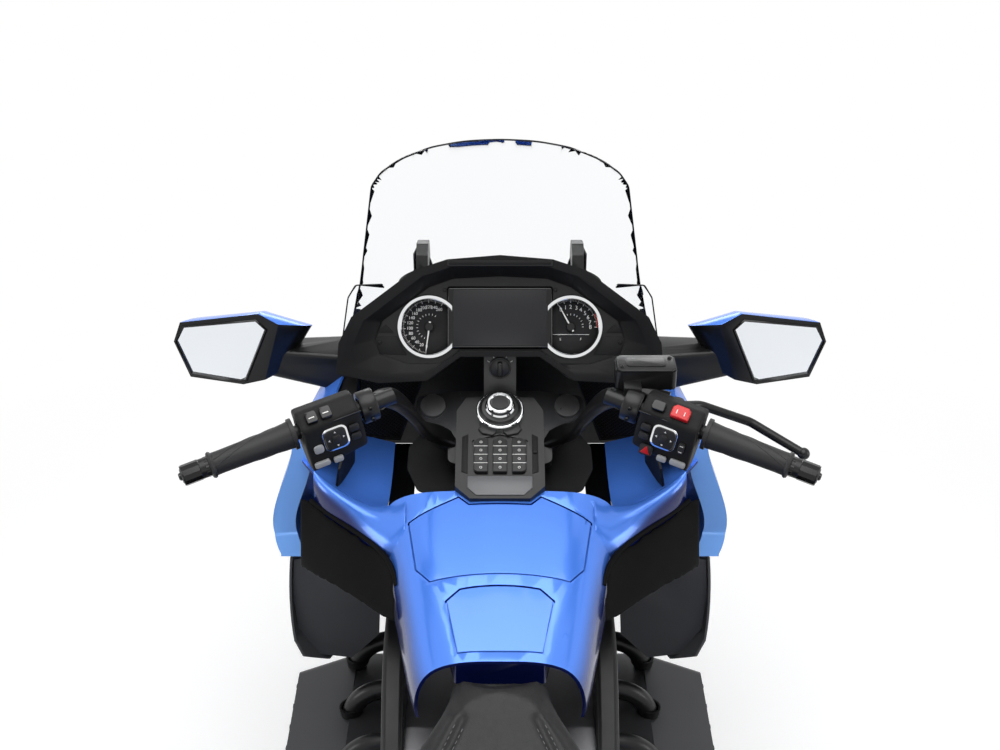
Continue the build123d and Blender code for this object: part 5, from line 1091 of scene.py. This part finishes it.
def tyre(node, centre, width, radius, rim, turn):
    """Treaded tyre about the wheel's axle."""
    half = width / 2
    outline = [(-half * 0.66, rim - 4), (-half * 0.80, rim + 6), (-half * 0.97, rim + (radius - rim) * 0.34)]
    for index in range(CROWN_STEPS + 1):
        lean = math.radians(-CROWN_LEAN + 2 * CROWN_LEAN * index / CROWN_STEPS)
        side = math.sin(lean) / math.sin(math.radians(CROWN_LEAN))
        outline.append((half * side, radius - (radius - rim) * 0.52 * (1 - math.cos(lean)) / 0.758))
    outline += [(-x, r) for x, r in reversed(outline[:3])]
    outline.append((outline[-1][0] - 6, rim - 4))
    outline += [(-outline[-1][0], rim - 4), outline[0]]
    shape = turned([(r, x) for x, r in outline], TYRE_STEPS)
    tread = []
    for face in shape.faces:
        spot = face.calc_center_median()
        reach = math.hypot(spot.x, spot.y)
        if reach < radius - (radius - rim) * 0.30 or abs(spot.z) < half * 0.10:
            continue
        step = int((math.atan2(spot.y, spot.x) / math.tau + 0.5) * TYRE_STEPS + 0.001)
        row = int(abs(spot.z) / half * TREAD_ROWS)
        if (step + (4 if spot.z > 0 else 0)) % PATTERN in (row % PATTERN, (row + 1) % PATTERN):
            tread.append(face)
    for vertex in shape.verts:
        slant = SLANT * abs(vertex.co.z) / half
        vertex.co.xy = Matrix.Rotation(slant * turn, 2) @ vertex.co.xy
    bmesh.ops.inset_region(shape, faces=tread, thickness=GROOVE_EDGE, depth=-TREAD_DEPTH, use_even_offset=True,
                           use_boundary=True)
    group = put(bmesh.new(), shape, laid_on(centre, (0, 1, 0), (0, 0, 1)))
    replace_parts(finished(group, node + "_treaded", TYRE, node, 40), node)
    print(node, "grooved cells:", len(tread))


FRONT_AXLE, REAR_AXLE = (0, 917.5, 320), (0, -777.5, 325)
tyre("front_tyre", FRONT_AXLE, 130, 320, 228.6, 1)
tyre("rear_tyre", REAR_AXLE, 200, 313, 203.2, -1)

# %% [markdown]
# Lamps look deep because there is something behind the lens. Each headlamp gets two bright bowls with a dark
# lens and a white strip above them. The tail lamp gets raised bars, and amber indicators sit beside it and on
# the mirrors.

# %% Lamps and indicators
AHEAD = laid_on((0, 1005, 0), (-1, 0, 0), (0, 0, 1))
BEHIND = laid_on((0, -1216, 0), (1, 0, 0), (0, 0, 1))
BOWL = [(14, -12), (17, -12), (19.5, -2), (19.5, 1.2), (18, 1.2), (14, -10), (14, -12)]
bowls, eyes, strips, amber, bars = (bmesh.new() for _ in range(5))
for side in (Matrix(), FLIP):
    for x in (76, 118):
        spot = side @ AHEAD @ moved(-x, 841)
        put(bowls, turned(BOWL, 40), spot)
        put(eyes, turned([(0, -12), (14, -12), (14, -8), (9, -5.4), (0, -4.4)], 40), spot)
    put(strips, plate(rounded(80, 6, 2), 2.2, 0.7), side @ AHEAD @ moved(-98, 868))
    corner = side @ laid_on((166, 951, 872), (-0.71, 0.70, 0), (0, 0, 1))
    put(strips, plate(rounded(46, 5, 2), 2.0, 0.7), corner)
    for height in (716, 728, 740):
        put(bars, plate(rounded(128, 6, 2.5), 3.2, 1.0), side @ BEHIND @ moved(70, height))
    put(amber, plate(rounded(30, 30, 5), 3.4, 1.2), side @ BEHIND @ moved(154, 728))
    put(amber, plate(rounded(92, 11, 4), 3.2, 1.2), side @ laid_on((470, 624, 1050), (-1, 0, 0), (0, 0, 1)))
finish_all("headlights", (bowls, "headlamp_bowls", CHROME), (eyes, "headlamp_eyes", GLOSS),
           (strips, "headlamp_strips", MARK))
finish_all("tail_light", (bars, "tail_lamp_bars", RED_LENS), (amber, "indicators", AMBER))

# %% [markdown]
# The doors of the side cases carry a rub strip, a bright line, a latch and its lock. Each door's pieces ride on
# that door, so they swing with it. A red reflector stays on the back of each case.

# %% Side case fittings
OUTWARD = laid_on((450, 0, 0), (0, 1, 0), (0, 0, 1))
LOCK = [(0, 0), (7.5, 0), (7.5, 3), (6.2, 4), (4, 4), (4, 3.2), (0, 3.2)]
for side_name, side in (("right", Matrix()), ("left", FLIP)):
    strip, line, lock = bmesh.new(), bmesh.new(), bmesh.new()
    door = side @ OUTWARD
    put(strip, plate(rounded(372, 20, 7), 5.5, 2.0, 3), door @ moved(-790, 478, -1))
    put(strip, plate(rounded(96, 34, 10), 5.0, 1.8, 3), door @ moved(-800, 700, -1))
    put(strip, plate(rounded(70, 14, 5), 4.5, 1.6), door @ moved(-806, 704, 3.6))
    put(line, plate(rounded(420, 6, 2.5), 2.6, 0.9), door @ moved(-790, 500, -0.6))
    put(lock, turned(LOCK, 32), door @ moved(-764, 700, 3.8))
    put(lock, block(1.6, 6, 1.2, 0.3, 1), door @ moved(-764, 700, 6.6))
    node = "saddlebag_door_" + side_name
    finish_all(node, (strip, node + "_strips", SATIN), (line, node + "_bright_line", CHROME),
               (lock, node + "_lock", STEEL))
reflectors = bmesh.new()
rear = laid_on((300, -1184, 600), (0.985, -0.17, 0), (0, 0, 1))
put(reflectors, plate(rounded(64, 40, 6), 3.4, 1.2), rear, FLIP @ rear)
finished(reflectors, "case_reflectors", RED_LENS, "saddlebag_right")

# %% [markdown]
# From the side the engine shows most. Round covers with screws, ribs on the crankcase, cover plates on the
# heads and the intake pipes between heads and body break up its plain block.

# %% Engine, pegs and brakes
BLOCK_SIDE = laid_on((152, 0, 0), (0, 1, 0), (0, 0, 1))
HEAD_SIDE = laid_on((368, 0, 0), (0, 1, 0), (0, 0, 1))
BIG_COVER = [(0, 0), (76, 0), (76, 9), (70, 15), (46, 17), (42, 23), (20, 25), (0, 25)]
SMALL_COVER = [(0, 0), (44, 0), (44, 8), (39, 13), (0, 15)]
BIG_AT, SMALL_AT = (52, 392), (-28, 500)
cases, bolts, pipes, rubbers, brakes, brake_bolts, hub_bolts = (bmesh.new() for _ in range(7))
for side in (Matrix(), FLIP):
    crank = side @ BLOCK_SIDE
    put(cases, turned(BIG_COVER, 64), crank @ moved(*BIG_AT))
    put(cases, turned(SMALL_COVER, 48), crank @ moved(*SMALL_AT))
    put(bolts, screw(4.6), *circled(crank @ moved(*BIG_AT, 14), 66, 8, 22))
    put(bolts, screw(4.0), *circled(crank @ moved(*SMALL_AT, 12), 36, 5))
    put(cases, block(226, 6, 7, 2), *[crank @ moved(262, height) for height in (214, 232, 250, 268)])
    head = side @ HEAD_SIDE
    put(cases, plate(rounded(246, 40, 9), 4.5, 1.6, 3), head @ moved(315, 366, -1))
    put(bolts, screw(5.0), *[head @ moved(x, 366, 3.3) for x in (204, 278, 352, 426)])
    for y in (186, 315, 444):
        path = [(262, y, 436), (258, y, 462), (232, y, 494), (190, y, 505), (148, y, 506)]
        put(pipes, tube(path, 17, sides=6), side @ UPRIGHT)
        put(pipes, turned([(17, -6), (20.5, -6), (20.5, 6), (17, 6), (17, -6)], 32),
            side @ laid_on((259, y, 458), (0, 1, 0), (-1, 0, 0.1)))
    rider = side @ laid_on((262, 100, 335), (1, 0, 0), (0, 0.98, 0.18))
    pillion = side @ laid_on((262, -400, 368), (1, 0, 0), (0, 1, -0.04))
    put(rubbers, block(84, 5, 3.4, 1.2), *[rider @ moved(0, y, -0.4) for y in range(-18, 19, 9)])
    put(rubbers, block(84, 6, 3.4, 1.2), *[pillion @ moved(0, y, -0.6) for y in range(-56, 57, 14)])
    caliper = side @ laid_on((108, 0, 0), (0, 1, 0), (0, 0, 1))
    for y, z, bolt_z in ((766, 276, 304), (792, 226, 200)):
        put(brakes, turned([(0, -1), (19, -1), (19, 2.4), (15, 4.2), (0, 4.6)], 40), caliper @ moved(y, z))
        put(brake_bolts, screw(5.2), caliper @ moved(y + 4, bolt_z))
    front = side @ laid_on((83.2, *FRONT_AXLE[1:]), (0, 1, 0), (0, 0, 1))
    put(hub_bolts, screw(5.0), *circled(front, 52, 6))
FITTINGS = (
    (cases, "engine_covers", DARK_ALLOY, "engine"), (bolts, "engine_bolts", STEEL, "engine", 25),
    (pipes, "intake_pipes", SATIN, "engine"), (rubbers, "peg_rubbers", RUBBER, "footpegs"),
    (brakes, "caliper_pistons", STEEL, "front_calipers"),
    (brake_bolts, "caliper_bolts", STEEL, "front_calipers", 25),
    (hub_bolts, "disc_bolts", STEEL, "front_rim", 25),
)
for row in FITTINGS:
    finished(*row)
print("engine, pegs and brakes:", len(FITTINGS), "pieces")
